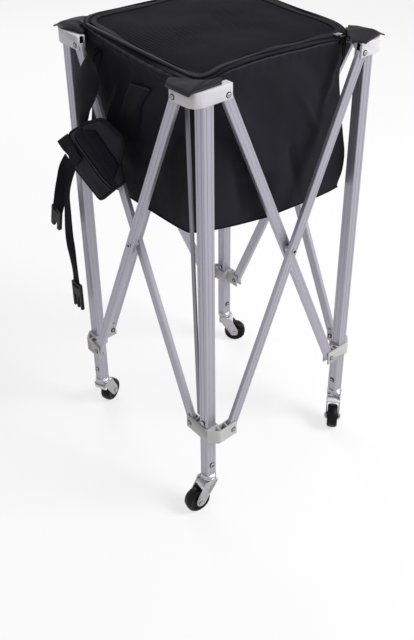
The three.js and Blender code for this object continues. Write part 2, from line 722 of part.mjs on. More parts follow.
// Casters
CORNERS.forEach((corner, k) => {
  const caster = new THREE.Group();
  caster.rotation.z = THREE.MathUtils.degToRad(CASTER_TURNS[k]) - k * QUARTER;
  legFrames[k].add(caster);
  caster.add(named("fork_" + corner, forkShape(), MATERIALS.steel));
  for (const [name, shape, material] of [
    ["wheel_" + corner, wheelShape(), MATERIALS.tyre],
    ["axle_" + corner, axleShape(), MATERIALS.steel],
  ]) {
    const mesh = named(name, shape, material);
    mesh.position.set(TRAIL, 0, WHEEL_RADIUS);
    caster.add(mesh);
  }
});

// Stay rod beside the near leg
{
  const y = (inward) => -LEG_OUT + inward;
  const x = -LEG_OUT - STAY_OUT;
  const half = STAY_WIDTH / 2;
  const outline = [
    new THREE.Vector2(y(LEG_HALF + GAP), STAY_BOTTOM),
    new THREE.Vector2(y(STAY_BOTTOM_IN) + half, STAY_BOTTOM),
    new THREE.Vector2(y(STAY_TOP_IN) + half, STAY_TOP),
    new THREE.Vector2(y(STAY_TOP_IN) - half, STAY_TOP),
    new THREE.Vector2(y(STAY_BOTTOM_IN) - half, STAY_BOTTOM + STAY_FOOT),
    new THREE.Vector2(y(LEG_HALF + GAP), STAY_BOTTOM + STAY_FOOT),
  ];
  const stay = prism("x", outline, x - STAY_THICK / 2, x + STAY_THICK / 2);
  group.add(named("stay_rod", stay, MATERIALS.bars));
}

// Bag
{
  const inner = BAG_HALF - CLOTH;
  const seam = inner - GAP;
  const sleeveEnds = [SLEEVE_MID - SLEEVE_LENGTH / 2, SLEEVE_MID + SLEEVE_LENGTH / 2];
  const sleeveShape = rectangle(...sleeveEnds, SLEEVE_TOP - SLEEVE_HEIGHT, SLEEVE_TOP, WALL);
  const sleeve = prism("x", sleeveShape, -BAG_HALF - SLEEVE_THICK, -BAG_HALF + SEAT);
  const nearLeft = join(block(-BAG_HALF, -inner, -BAG_HALF, BAG_HALF, BAG_BOTTOM, BAG_TOP), sleeve);
  group.add(named("bag_near_left", nearLeft, MATERIALS.cloth));
  const nearRight = block(-seam, BAG_HALF, -BAG_HALF, -inner, BAG_BOTTOM, BAG_TOP);
  group.add(named("bag_near_right", nearRight, MATERIALS.cloth));
  const backRight = block(inner, BAG_HALF, -seam, BAG_HALF, BAG_BOTTOM, BAG_TOP);
  group.add(named("bag_back_right", backRight, MATERIALS.cloth));
  const backLeft = block(-seam, seam, inner, BAG_HALF, BAG_BOTTOM, BAG_TOP);
  group.add(named("bag_back_left", backLeft, MATERIALS.cloth));
  const floorTop = BAG_BOTTOM - GAP;
  const floor = softPanel(
    rectangle(-BAG_HALF, BAG_HALF, -BAG_HALF, BAG_HALF, LID_CORNER / 2),
    (share) => floorTop - CLOTH - FLOOR_SAG * swell(share),
    (share) => floorTop - FLOOR_SAG * swell(share),
  );
  group.add(named("bag_floor", solid(floor), MATERIALS.cloth));
  const lid = softPanel(
    rectangle(-LID_HALF, LID_HINGE_EDGE, -LID_HALF, LID_HALF, LID_CORNER),
    (share) => LID_Z + LID_CROWN * swell(share),
    (share) => LID_Z + CLOTH + LID_CROWN * swell(share),
  );
  group.add(named("bag_lid", solid(lid), MATERIALS.mesh));
}

// Corner ears, which lap over the brackets
CORNERS.forEach((corner, k) => {
  const [tipX, tipY] = EAR_TIPS[k];
  const outline = [
    new THREE.Vector2(EAR_IN, EAR_IN),
    new THREE.Vector2(-EAR_SPREAD, EAR_REACH),
    new THREE.Vector2(tipX, tipY),
    new THREE.Vector2(EAR_REACH, -LEG_HALF),
  ];
  const low = BRACKET_TOP + GAP;
  legFrames[k].add(named("ear_" + corner, prism("z", outline, low, low + CLOTH), MATERIALS.cloth));
});

// Zip pull on the near-right side
{
  const y = -BAG_HALF - GAP;
  const sides = [PULL_AT - PULL_WIDTH / 2, PULL_AT + PULL_WIDTH / 2];
  const tab = rectangle(...sides, BAG_TOP - ZIP_SLIDER - PULL_LENGTH, BAG_TOP - WALL, WALL / 2);
  const pull = prism("y", tab, y - CLOTH, y);
  const slider = block(PULL_AT - ZIP_SLIDER, PULL_AT + SEAT, y - WALL, y, BAG_TOP - ZIP_SLIDER, BAG_TOP);
  group.add(named("zip_pull", join(pull, slider), MATERIALS.plastic));
}

// Shoulder strap, pad, webbing and buckles
{
  // A point just off one edge of the pad, some share of the way along it.
  const offPad = (edge, share) => {
    const [from, to] = [PAD[edge], PAD[(edge + 1) % PAD.length]].map(([y, z]) => new THREE.Vector2(y, z));
    const along = to.clone().sub(from).normalize();
    return from.lerp(to, share).addScaledVector(new THREE.Vector2(along.y, -along.x), GAP);
  };
  const head = STRAP_HEAD.map(([y, rise]) => new THREE.Vector2(y, STRAP_TOP + rise));
  const strap = onStrapSide([...head, ...STRAP_SHARES.map((share) => offPad(0, share))], STRAP_THICK);
  const loopTop = STRAP_TOP - STRAP_THICK;
  const loop = block(-STRAP_PLANE, -BAG_HALF - GAP, LOOP_FROM, LOOP_TO, loopTop - STRAP_THICK, loopTop);
  group.add(named("strap", join(strap, loop), MATERIALS.webbing));
  const pad = softPanel(
    rounded(PAD.map(([y, z]) => [y, z, PAD_CORNER])),
    (share) => -PAD_THICK / 2 - PAD_CROWN * swell(share),
    (share) => PAD_THICK / 2 + PAD_CROWN * swell(share),
  );
  const basis = new THREE.Matrix4();
  basis.makeBasis(new THREE.Vector3(0, 1, 0), new THREE.Vector3(0, 0, 1), new THREE.Vector3(1, 0, 0));
  pad.applyMatrix4(basis);
  pad.translate(-STRAP_PLANE, 0, 0);
  group.add(named("strap_pad", solid(pad), MATERIALS.webbing));
  const shortStart = offPad(PAD.length - 1, WEB_ONE_SHARE).toArray();
  const longStart = offPad(PAD.length - 2, WEB_TWO_SHARE).toArray();
  const short = onStrapSide(band([shortStart, ...WEB_ONE], WEB_WIDTH), WEB_THICK);
  group.add(named("webbing_short", short, MATERIALS.webbing));
  const long = onStrapSide(band([longStart, ...WEB_TWO], WEB_WIDTH), WEB_THICK);
  group.add(named("webbing_long", long, MATERIALS.webbing));
  const frame = (line) => {
    const [[by, bz], [y, z]] = line.slice(-2);
    const way = new THREE.Vector2(y - by, z - bz).normalize();
    const across = new THREE.Vector2(-way.y, way.x);
    const start = new THREE.Vector2(y, z).addScaledVector(way, GAP);
    return (x, s) => start.clone().addScaledVector(across, x).addScaledVector(way, s);
  };
  const plate = (place, x0, x1, s0, s1, radius) => {
    const corners = [place(x0, s0), place(x1, s0), place(x1, s1), place(x0, s1)];
    return onStrapSide(rounded(corners.map((p) => [p.x, p.y, radius])), BUCKLE_THICK);
  };
  const half = BUCKLE_WIDTH / 2;
  const female = frame(WEB_ONE);
  const opening = 2 * BUCKLE_BAR;
  const throat = BUCKLE_ONE_LENGTH - 3 * BUCKLE_BAR;
  const mouth = cut(
    plate(female, -half, half, 0, BUCKLE_ONE_LENGTH, BUCKLE_CORNER),
    plate(female, BUCKLE_BAR - half, half - BUCKLE_BAR, BUCKLE_BAR, 2 * BUCKLE_BAR, SMALL_CORNER),
    plate(female, opening - half, half - opening, throat, BUCKLE_ONE_LENGTH + half, SMALL_CORNER),
  );
  group.add(named("buckle_female", mouth, MATERIALS.plastic));
  const male = frame(WEB_TWO);
  const root = BUCKLE_TWO_LENGTH / 2;
  const prongs = [-half, -PRONG / 2, half - PRONG].map((from) =>
    plate(male, from, from + PRONG, root - SMALL_CORNER, BUCKLE_TWO_LENGTH, SMALL_CORNER));
  const insert = join(
    cut(
      plate(male, -half, half, 0, root, BUCKLE_CORNER / 2),
      plate(male, BUCKLE_BAR - half, half - BUCKLE_BAR, BUCKLE_BAR, 2 * BUCKLE_BAR, SMALL_CORNER),
    ),
    ...prongs,
  );
  group.add(named("buckle_male", insert, MATERIALS.plastic));
}

export default group;
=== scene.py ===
"""Tennis ball hopper: fabric bag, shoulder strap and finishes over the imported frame, with its stage."""

import json
import math
from contextlib import contextmanager
from functools import partial

import bpy
from mathutils import Matrix, Vector, noise


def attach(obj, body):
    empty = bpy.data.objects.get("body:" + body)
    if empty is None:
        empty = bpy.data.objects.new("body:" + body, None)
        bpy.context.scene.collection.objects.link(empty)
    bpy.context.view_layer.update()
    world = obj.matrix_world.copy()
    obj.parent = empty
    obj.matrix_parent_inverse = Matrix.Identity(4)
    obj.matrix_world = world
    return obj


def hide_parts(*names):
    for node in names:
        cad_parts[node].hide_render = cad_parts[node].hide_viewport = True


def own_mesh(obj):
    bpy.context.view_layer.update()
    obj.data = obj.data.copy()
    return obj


bl_info = {
    "name": "Tennis ball hopper",
    "version": (1, 0, 0),
    "blender": (4, 5, 0),
    "location": "3D View > Sidebar > Hopper",
    "description": "Builds the bag, strap and finishes of a folding ball hopper",
    "category": "Add Mesh",
}

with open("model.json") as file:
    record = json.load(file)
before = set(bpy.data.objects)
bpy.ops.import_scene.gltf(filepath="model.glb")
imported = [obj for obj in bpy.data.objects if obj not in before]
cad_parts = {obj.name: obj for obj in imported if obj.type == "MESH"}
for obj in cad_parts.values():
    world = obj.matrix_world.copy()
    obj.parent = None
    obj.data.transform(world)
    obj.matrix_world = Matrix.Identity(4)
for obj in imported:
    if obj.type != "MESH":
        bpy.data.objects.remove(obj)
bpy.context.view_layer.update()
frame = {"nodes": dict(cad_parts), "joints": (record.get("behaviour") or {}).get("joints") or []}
CORNERS = ("near", "right", "back", "left")
TURN, HALF_TURN, QUARTER = 2 * math.pi, math.pi, math.pi / 2
# From the cart's middle to a leg's middle along x and y, and half a leg's side
LEG_OUT, LEG_HALF = 0.184, 0.0112
# A flat bar's run and rise from pivot to pivot
BAR_RUN, BAR_RISE = 0.294, 0.678
# The span that the rim's heights are spaced over, and the drop from the rim to a panel's top
RIM_SPAN, RIM_DROP = 0.34, 0.003
# The plane that the shoulder strap hangs in
STRAP_X = -0.222
# Vertices this close together are welded
WELD = 0.00002


def metres(table):
    """Sizes given in millimetres, one or a nested table of them, in metres."""
    if isinstance(table, dict):
        return {key: metres(value) for key, value in table.items()}
    return tuple(metres(value) for value in table) if isinstance(table, tuple) else table / 1000


def length(name, default, description):
    return bpy.props.FloatProperty(name=name, description=description, default=default, unit="LENGTH")


def tint(name, default, description):
    return bpy.props.FloatVectorProperty(
        name=name, description=description, default=(*default, 1), size=4, subtype="COLOR")


class HopperSizes(bpy.types.PropertyGroup):
    """Sizes of the soft parts, in metres."""

    bag_half: length("Bag half width", 0.165, "From the middle of the bag to a side panel")
    bag_bottom: length("Bag bottom height", 0.608, "Height of the bottom seam over the floor")
    cloth: length("Cloth thickness", 0.0022, "Thickness of the coated cloth")
    lid_crown: length("Lid crown", 0.003, "Rise of the lid from its edge to its middle")
    strap_thick: length("Strap thickness", 0.0028, "Thickness of the shoulder strap")
    web_thick: length("Webbing thickness", 0.0018, "Thickness of the webbing")
    web_width: length("Webbing width", 0.025, "Width of the webbing")


class HopperColours(bpy.types.PropertyGroup):
    """Colours of the finishes, as linear values."""

    aluminium: tint("Aluminium", (0.40, 0.388, 0.45), "Anodised legs and bars")
    bracket: tint("Bracket", (0.60, 0.59, 0.615), "Moulded top brackets")
    slider: tint("Slider", (0.50, 0.49, 0.49), "Moulded sliders")
    steel: tint("Steel", (0.42, 0.41, 0.44), "Bright zinc plating")
    wheel: tint("Wheel", (0.0026, 0.0024, 0.0034), "Black caster wheels")
    cloth: tint("Cloth", (0.0066, 0.0062, 0.0098), "Coated cloth of the bag")
    lid: tint("Lid mesh", (0.0080, 0.0077, 0.0105), "Open mesh of the lid")
    webbing: tint("Webbing", (0.0033, 0.0030, 0.0050), "Strap, pad and webbing")
    buckle: tint("Buckle", (0.0032, 0.0032, 0.0042), "Moulded buckles")


# Shader maths


class Value:
    """A shader socket that adds Math nodes when it is used in an expression."""

    def __init__(self, finish, socket):
        self.finish = finish
        self.socket = socket

    def math(self, operation, *others):
        return self.finish.node("ShaderNodeMath", {"operation": operation}, dict(enumerate((self, *others))))

    def __add__(self, other):
        return self.math("ADD", other)

    def __sub__(self, other):
        return self.math("SUBTRACT", other)

    def __rsub__(self, other):
        return self.finish.node("ShaderNodeMath", {"operation": "SUBTRACT"}, {0: other, 1: self})

    def __mul__(self, other):
        return self.math("MULTIPLY", other)

    __radd__ = __add__
    __rmul__ = __mul__


class Nodes:
    """A node tree under construction."""

    def __init__(self, tree):
        self.tree = tree
        self.tree.nodes.clear()

    def put(self, socket, value):
        if isinstance(value, Value):
            self.tree.links.new(value.socket, socket)
        else:
            socket.default_value = value

    def node(self, kind, settings=None, inputs=None, output=0):
        made = self.tree.nodes.new(kind)
        for setting, value in (settings or {}).items():
            if setting == "stops":
                while len(made.color_ramp.elements) < len(value):
                    made.color_ramp.elements.new(0.5)
                for element, (place, colour) in zip(made.color_ramp.elements, value):
                    element.position = place
                    element.color = colour
            else:
                setattr(made, setting, value)
        for socket, value in (inputs or {}).items():
            self.put(made.inputs[socket], value)
        return Value(self, made.outputs[output])

    def seen(self):
        """1 where the camera, a reflection or a view through glass looks, and 0 for other light."""
        kinds = ("Is Camera Ray", "Is Glossy Ray", "Is Transmission Ray")
        camera, glossy, through = (self.node("ShaderNodeLightPath", output=kind) for kind in kinds)
        return camera + glossy + through


class Finish(Nodes):
    """A material under construction: one shader, its constants and the nodes behind it."""

    def __init__(self, name, **constants):
        self.material = bpy.data.materials.new(name)
        self.material.use_nodes = True
        super().__init__(self.material.node_tree)
        self.shader = self.tree.nodes.new("ShaderNodeBsdfPrincipled")
        self.output = self.tree.nodes.new("ShaderNodeOutputMaterial")
        self.tree.links.new(self.shader.outputs[0], self.output.inputs[0])
        for socket, value in constants.items():
            self.shader.inputs[socket.replace("_", " ")].default_value = value

    def coordinates(self, source="Object", turn=(0, 0, 0), scale=(1, 1, 1)):
        where = self.node("ShaderNodeTexCoord", output=source)
        return self.node("ShaderNodeMapping", None, {"Vector": where, "Rotation": turn, "Scale": scale})

    def noise(self, vector, scale, detail, roughness=0.5):
        inputs = {"Vector": vector, "Scale": scale, "Detail": detail, "Roughness": roughness}
        return self.node("ShaderNodeTexNoise", None, inputs)

    def ramp(self, value, *stops):
        grey = [(place, (level, level, level, 1)) for place, level in stops]
        return self.node("ShaderNodeValToRGB", {"stops": grey}, {0: value})

    def blend(self, share, first, second):
        return self.node("ShaderNodeMix", {"data_type": "RGBA"}, {0: share, 6: first, 7: second}, output=2)

    def axes(self, vector):
        made = self.node("ShaderNodeSeparateXYZ", None, {0: vector})
        sockets = made.socket.node.outputs
        return [Value(self, sockets[i]) for i in range(3)]

    def bump(self, height, strength, distance):
        inputs = {"Strength": strength, "Distance": distance, "Height": height}
        return self.node("ShaderNodeBump", None, inputs)

    def feed(self, **sockets):
        for socket, value in sockets.items():
            self.put(self.shader.inputs[socket.replace("_", " ")], value)
        return self.material


def shade(colour, factor):
    """A colour made lighter or darker by a factor."""
    return (*(min(1.0, level * factor) for level in colour[:3]), 1)


def aluminium(name, colour, turn):
    """Satin anodising with fine drawing lines along the tube, which turn brings upright."""
    finish = Finish(name, Metallic=0.72, Specular_IOR_Level=0.4)
    along = finish.coordinates(turn=turn, scale=(1, 1, 0.006))
    lines = finish.noise(along, 2600, 2)
    cloud = finish.noise(finish.coordinates(), 9, 3)
    tone = finish.blend(lines * 0.3 + cloud * 0.7, shade(colour, 0.93), shade(colour, 1.07))
    rough = finish.ramp(cloud * 0.7 + lines * 0.3, (0.3, 0.36), (0.7, 0.44))
    return finish.feed(Base_Color=tone, Roughness=rough, Normal=finish.bump(lines, 0.05, 0.0001))


def moulded(name, colour, roughness, patch, specular=0.35):
    """Moulded plastic with a fine spark grain, soft flow marks and slight stains."""
    finish = Finish(name, Coat_Weight=0.04, Coat_Roughness=0.35, Specular_IOR_Level=specular)
    where = finish.coordinates()
    grain = finish.noise(where, 1800, 2)
    cloud = finish.ramp(finish.noise(where, 26, 4), (0.42, 0), (0.62, 1))
    tone = finish.blend(cloud * 0.7, colour, patch)
    tone = finish.blend(grain * 0.2, tone, shade(colour, 0.75))
    rough = finish.ramp(grain * 0.5 + cloud * 0.5, (0.25, roughness - 0.06), (0.75, roughness + 0.08))
    return finish.feed(Base_Color=tone, Roughness=rough, Normal=finish.bump(grain, 0.12, 0.0003))


def plated(name, colour, smallest=0.27):
    """Bright zinc plating with faint mottling and handling marks."""
    finish = Finish(name, Metallic=1.0)
    where = finish.coordinates()
    mottle = finish.noise(where, 160, 4, 0.6)
    marks = finish.ramp(finish.noise(where, 45, 6, 0.7), (0.45, 0), (0.7, 1))
    tone = finish.blend(mottle, shade(colour, 0.8), shade(colour, 1.2))
    rough = finish.ramp(marks * 0.5 + mottle * 0.5, (0.2, smallest), (0.8, smallest + 0.2))
    return finish.feed(Base_Color=tone, Roughness=rough, Normal=finish.bump(mottle, 0.08, 0.0003))


def rubber(name, colour):
    """Black wheel compound, a little dusty on its tread."""
    finish = Finish(name, Specular_IOR_Level=0.14)
    where = finish.coordinates()
    grain = finish.noise(where, 900, 3)
    dust = finish.ramp(finish.noise(where, 60, 5, 0.6), (0.5, 0), (0.75, 1))
    tone = finish.blend(dust * 0.3, colour, shade(colour, 4))
    rough = finish.ramp(grain * 0.4 + dust * 0.6, (0.1, 0.32), (0.8, 0.6))
    return finish.feed(Base_Color=tone, Roughness=rough, Normal=finish.bump(grain, 0.15, 0.0004))


def woven(name, colour, pitch, specular, roughness):
    """Plain woven cloth: threads over and under along the piece's own two directions, in metres."""
    finish = Finish(name, Sheen_Weight=0.01, Sheen_Roughness=0.5, Specular_IOR_Level=specular)
    across, down, _ = finish.axes(finish.coordinates("UV"))
    warp = (across * (TURN / pitch)).math("SINE")
    weft = (down * (TURN / pitch)).math("SINE")
    threads = warp * weft * 0.5 + 0.5
    wear = finish.noise(finish.coordinates(), 16, 5, 0.6)
    slub = finish.noise(finish.coordinates("UV", scale=(1, 0.06, 1)), 700, 2)
    tone = finish.blend(threads * 0.45 + slub * 0.3, shade(colour, 0.75), shade(colour, 1.5))
    tone = finish.blend(finish.ramp(wear, (0.38, 0), (0.64, 1)) * 0.6, tone, shade(colour, 1.7))
    rough = finish.ramp(wear, (0.3, roughness - 0.1), (0.7, roughness + 0.06))
    height = threads * 0.7 + slub * 0.3
    return finish.feed(Base_Color=tone, Roughness=rough, Normal=finish.bump(height, 0.22, 0.0004))


def open_mesh(name, colour, pitch, rows_share, gaps_share):
    """Open mesh: slanted rows of fine dark holes between lighter threads."""
    finish = Finish(name, Sheen_Weight=0.004, Sheen_Roughness=0.5, Specular_IOR_Level=0.02)
    across, down, _ = finish.axes(finish.coordinates("UV"))
    turn = TURN / pitch
    rows = ((across * 0.31 + down * 0.95) * turn).math("SINE")
    gaps = ((across * 0.95 - down * 0.31) * (turn * 0.9)).math("SINE")
    hole = finish.ramp(rows * rows_share + gaps * gaps_share + 0.5, (0.35, 0), (0.7, 1))
    wear = finish.noise(finish.coordinates(), 9, 4)
    tone = finish.blend(hole, shade(colour, 2.3), shade(colour, 0.12))
    tone = finish.blend(finish.ramp(wear, (0.35, 0), (0.7, 1)) * 0.5, tone, shade(colour, 1.5))
    rough = finish.ramp(hole, (0, 0.6), (1, 0.9))
    return finish.feed(Base_Color=tone, Roughness=rough, Normal=finish.bump(1 - hole, 0.3, 0.0006))


def ribbed(name, colour, pitch, specular=0.05):
    """Webbing: close ribs across its length and a soft fuzz."""
    finish = Finish(name, Sheen_Weight=0.01, Sheen_Roughness=0.5, Specular_IOR_Level=specular)
    along, _, _ = finish.axes(finish.coordinates("UV"))
    rib = (along * (TURN / pitch)).math("SINE") * 0.5 + 0.5
    fuzz = finish.noise(finish.coordinates(), 1500, 2)
    tone = finish.blend(rib * 0.6 + fuzz * 0.3, shade(colour, 0.7), shade(colour, 2.0))
    rough = finish.ramp(fuzz, (0.2, 0.62), (0.8, 0.85))
    return finish.feed(Base_Color=tone, Roughness=rough, Normal=finish.bump(rib, 0.35, 0.0005))


# Modelling helpers


def deselect():
    bpy.ops.object.select_all(action="DESELECT")


def choose(*parts):
    """Selects these parts alone, with the first as the active one."""
    deselect()
    for part in parts:
        part.select_set(True)
    bpy.context.view_layer.objects.active = parts[0]


@contextmanager
def editing():
    """Edit mode on the active piece with all of it selected, and object mode afterwards."""
    bpy.ops.object.mode_set(mode="EDIT")
    bpy.ops.mesh.select_all(action="SELECT")
    yield
    bpy.ops.object.mode_set(mode="OBJECT")


@contextmanager
def editing_only(mesh, kind, wanted):
    """Edit mode with only the vertices, edges or polygons selected for which wanted holds."""
    bpy.ops.object.mode_set(mode="EDIT")
    bpy.ops.mesh.select_all(action="DESELECT")
    bpy.ops.object.mode_set(mode="OBJECT")
    for element in getattr(mesh, kind):
        element.select = wanted(element)
    bpy.ops.object.mode_set(mode="EDIT")
    yield
    bpy.ops.object.mode_set(mode="OBJECT")


def dress(piece, material):
    piece.data.materials.clear()
    piece.data.materials.append(material)


def adopt(name, material):
    """Names the object just made, gives it its material and its place at the origin."""
    piece = bpy.context.object
    piece.name = piece.data.name = name
    bpy.ops.object.transform_apply()
    dress(piece, material)
    return piece


def carry(piece, body, slot):
    """Lets a piece move with a body. The slot is not used."""
    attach(piece, body)


def modify(piece, kind, **settings):
    """Adds a modifier and applies it."""
    modifier = piece.modifiers.new(kind.title(), kind)
    for setting, value in settings.items():
        setattr(modifier, setting, value)
    bpy.context.view_layer.objects.active = piece
    bpy.ops.object.modifier_apply(modifier=modifier.name)


def smooth(piece, angle=40):
    choose(piece)
    bpy.ops.object.shade_smooth_by_angle(angle=math.radians(angle))


def tidy(piece):
    """Welds doubles and turns the faces outwards."""
    bpy.context.view_layer.objects.active = piece
    with editing():
        bpy.ops.mesh.remove_doubles(threshold=WELD)
        bpy.ops.mesh.normals_make_consistent(inside=False)


def sheet(name, material, across, down, place, thick, size, levels=1):
    """A grid laid over place(u, v), with its UV map in metres, then given its thickness."""
    deselect()
    bpy.ops.mesh.primitive_grid_add(x_subdivisions=across, y_subdivisions=down, size=1)
    piece = adopt(name, material)
    places = [(v.co.x + 0.5, v.co.y + 0.5) for v in piece.data.vertices]
    for loop, uv in zip(piece.data.loops, piece.data.uv_layers[0].uv):
        u, v = places[loop.vertex_index]
        uv.vector = (u * size[0], v * size[1])
    for vertex, (u, v) in zip(piece.data.vertices, places):
        vertex.co = place(u, v)
    tidy(piece)
    modify(piece, "SOLIDIFY", thickness=thick, offset=0)
    if levels:
        modify(piece, "SUBSURF", levels=levels, render_levels=levels)
    smooth(piece)
    return piece


def shares(count):
    """Evenly spaced shares from 0 to 1, both included."""
    return [i / count for i in range(count + 1)]


def clamp(share):
    return min(max(share, 0), 1)


def curve(values, share):
    """A smooth curve through evenly spaced values, numbers or vectors alike."""
    spans = len(values) - 1
    at = clamp(share) * spans
    i = min(int(at), spans - 1)
    t = at - i
    p0, p1, p2, p3 = (values[min(max(i + k, 0), spans)] for k in (-1, 0, 1, 2))
    bend = (2 * p0 - 5 * p1 + 4 * p2 - p3) * t * t + (3 * p1 - p0 - 3 * p2 + p3) * t ** 3
    return 0.5 * (2 * p1 + (p2 - p0) * t + bend)


def tube(name, material, points, radius, facets=8, closed=False, steps=None, oval=(1, 1)):
    """Round piping along points, or oval where its width and height shares differ."""
    steps = steps or 4 * len(points)
    deselect()
    path = [Vector(p) for p in ([*points, points[0]] if closed else points)]
    centres = [curve(path, share) for share in shares(steps)][:steps if closed else None]
    count = len(centres)
    bpy.ops.mesh.primitive_torus_add(
        major_segments=count, minor_segments=facets, major_radius=1, minor_radius=0.1)
    piece = adopt(name, material)
    for i, centre in enumerate(centres):
        after = centres[(i + 1) % count] if closed else centres[min(i + 1, count - 1)]
        before = centres[i - 1] if closed or i else centres[0]
        along = (after - before).normalized()
        side = along.cross(Vector((0, 0, 1)))
        side = side.normalized() if side.length > 0.05 else Vector((1, 0, 0))
        up = side.cross(along)
        for k in range(facets):
            angle = TURN * k / facets
            wide, high = math.cos(angle) * radius * oval[0], math.sin(angle) * radius * oval[1]
            piece.data.vertices[i * facets + k].co = centre + (side * wide + up * high)
    step = sum((b - a).length for a, b in zip(centres, centres[1:])) / (count - 1)
    for face in piece.data.polygons:
        rings = [v // facets for v in face.vertices]
        wraps = max(rings) - min(rings) > 1
        for loop, ring in zip(face.loop_indices, rings):
            place = ring + count if wraps and not ring else ring
            piece.data.uv_layers[0].uv[loop].vector = (place * step, 0.5)
    if not closed:
        first, last = set(range(facets)), set(range((count - 1) * facets, count * facets))

        def bridges(face):
            return all({*face.vertices} & end for end in (first, last))

        with editing_only(piece.data, "polygons", bridges):
            bpy.ops.mesh.select_mode(type="FACE")
            bpy.ops.mesh.delete(type="ONLY_FACE")
            bpy.ops.mesh.select_mode(type="EDGE")
            bpy.ops.mesh.select_all(action="SELECT")
            bpy.ops.mesh.fill_holes(sides=facets)
    tidy(piece)
    smooth(piece, 50)
    return piece


def quarter(corner):
    """The turn that brings the near corner to another one."""
    return Matrix.Rotation(CORNERS.index(corner) * QUARTER, 3, "Z")


def turned(point, corner):
    """A point given in the near corner's frame, about the leg, brought to another corner."""
    return quarter(corner) @ Vector((point[0] - LEG_OUT, point[1] - LEG_OUT, point[2]))


def face_out(part, way):
    """Turns a part that was made upright so that its top faces a way."""
    part.rotation_euler = way.to_track_quat("Z", "Y").to_euler()


# Heights of the rim, evenly spaced along y on the near left and back right sides and along x on the others
RIM = metres({
    "near_left": (888, 886, 884.5, 885, 887.5, 892, 897, 902.5, 910),
    "near_right": (888, 899, 902.2, 902.2, 900, 896.5, 894.3, 889.5, 888),
    "back_right": (888, 900, 903.5, 904.5, 906.5, 909, 909.5, 910, 910),
    "back_left": (910, 912, 911, 910.5, 910, 910, 910, 910, 910),
})


def rim(x, y):
    """The rim's height over the floor, carried across the lid from its four sides."""
    s, t = (clamp(w / RIM_SPAN + 0.5) for w in (x, y))
    near, back = RIM["near_right"], RIM["back_left"]
    sides = (
        (1 - t) * curve(near, s) + t * curve(back, s)
        + (1 - s) * curve(RIM["near_left"], t) + s * curve(RIM["back_right"], t))
    corners = (1 - t) * ((1 - s) * near[0] + s * near[-1]) + t * ((1 - s) * back[0] + s * back[-1])
    return sides - corners


def rise(x, low, high):
    """From 0 at low to 1 at high, with soft ends."""
    share = clamp((x - low) / (high - low))
    return share * share * (3 - 2 * share)


def ridge(s, z, line):
    """How far a crease from one point to another stands out at a place on the cloth."""
    s0, z0, s1, z1, width, height = line
    place, along = Vector((s - s0, z - z0)), Vector((s1 - s0, z1 - z0))
    share = clamp(place.dot(along) / along.length_squared)
    return height * math.exp(-((place - along * share).length / width) ** 2)


FINISHES = {}


def finishes():
    """All materials, made once from the scene's colours."""
    if FINISHES:
        return FINISHES
    colours = bpy.context.scene.hopper_colours

    def of(name, factor=1):
        return shade(getattr(colours, name), factor)

    lean = math.atan2(BAR_RUN, BAR_RISE)
    bracket_stain, slider_stain = (0.56, 0.54, 0.57, 1), (0.49, 0.455, 0.45, 1)
    buckle_stain = (0.006, 0.006, 0.0075, 1)
    FINISHES.update({
        "upright": aluminium("aluminium upright", of("aluminium"), (0, 0, 0)),
        # The stay takes the aluminium at 0.55 of its brightness: painted shade
        "stay": aluminium("stay metal", of("aluminium", 0.55), (0, 0, 0)),
        "x_plus": aluminium("aluminium leaning x", of("aluminium"), (0, -lean, 0)),
        "x_minus": aluminium("aluminium leaning back x", of("aluminium"), (0, lean, 0)),
        "y_plus": aluminium("aluminium leaning y", of("aluminium"), (lean, 0, 0)),
        "y_minus": aluminium("aluminium leaning back y", of("aluminium"), (-lean, 0, 0)),
        "bracket": moulded("bracket plastic", of("bracket"), 0.46, bracket_stain),
        "slider": moulded("slider plastic", of("slider", 0.92), 0.48, slider_stain),
        "steel": plated("zinc plated steel", of("steel")),
        # The rivet steel is the plating at 0.62 of its brightness: painted shade on the rivet heads, and the
        # zip slider's own dark metal
        "rivet": plated("rivet steel", of("steel", 0.62), 0.22),
        "wheel": rubber("wheel compound", of("wheel")),
        "cloth": woven("coated cloth", of("cloth"), 0.0016, 0.10, 0.66),
        # The rim cloth is the bag cloth at twice its brightness: painted highlight on the rolled rims and on
        # the sleeve's and flaps' hems
        "rim": woven("rim cloth", of("cloth", 2.0), 0.0016, 0.15, 0.55),
        "lid": open_mesh("lid mesh", of("lid"), 0.0042, 0.40, 0.10),
        "netting": open_mesh("pad netting", of("webbing", 1.7), 0.0046, 0.27, 0.27),
        "webbing": ribbed("ribbed webbing", of("webbing"), 0.0024),
        "strap": woven("strap cloth", of("webbing"), 0.0014, 0.07, 0.72),
        "pad": woven("pad cloth", of("webbing", 1.8), 0.0014, 0.09, 0.7),
        "binding": ribbed("edge binding", of("webbing", 1.6), 0.0012, 0.06),
        "buckle": moulded("buckle plastic", of("buckle"), 0.45, buckle_stain, 0.12),
    })
    return FINISHES


class HOPPER_OT_frame(bpy.types.Operator):
    """Gives the frame's legs, bars, brackets, sliders and casters their finishes"""

    bl_idname = "hopper.frame"
    bl_label = "Frame finishes"

    plain = {
        "leg": "upright", "stay": "stay", "bracket": "bracket", "slider": "slider", "plug": "steel",
        "button": "steel", "fork": "steel", "axle": "steel", "crossing": "steel", "wheel": "wheel"}

    def execute(self, context):
        for name, node in frame["nodes"].items():
            kind = name.split("_")[0]
            finish = self.leaning(name) if kind == "bar" else self.plain.get(kind)
            if finish:
                dress(node, finishes()[finish])
        return {"FINISHED"}

    @staticmethod
    def leaning(bar):
        """The finish whose drawing lines follow a flat bar."""
        _, high, _, low = bar.split("_")
        along = "x" if {high, low} in ({"near", "right"}, {"left", "back"}) else "y"
        goes_up = high in (("right", "back") if along == "x" else ("left", "back"))
        return f"{along}_{'plus' if goes_up else 'minus'}"


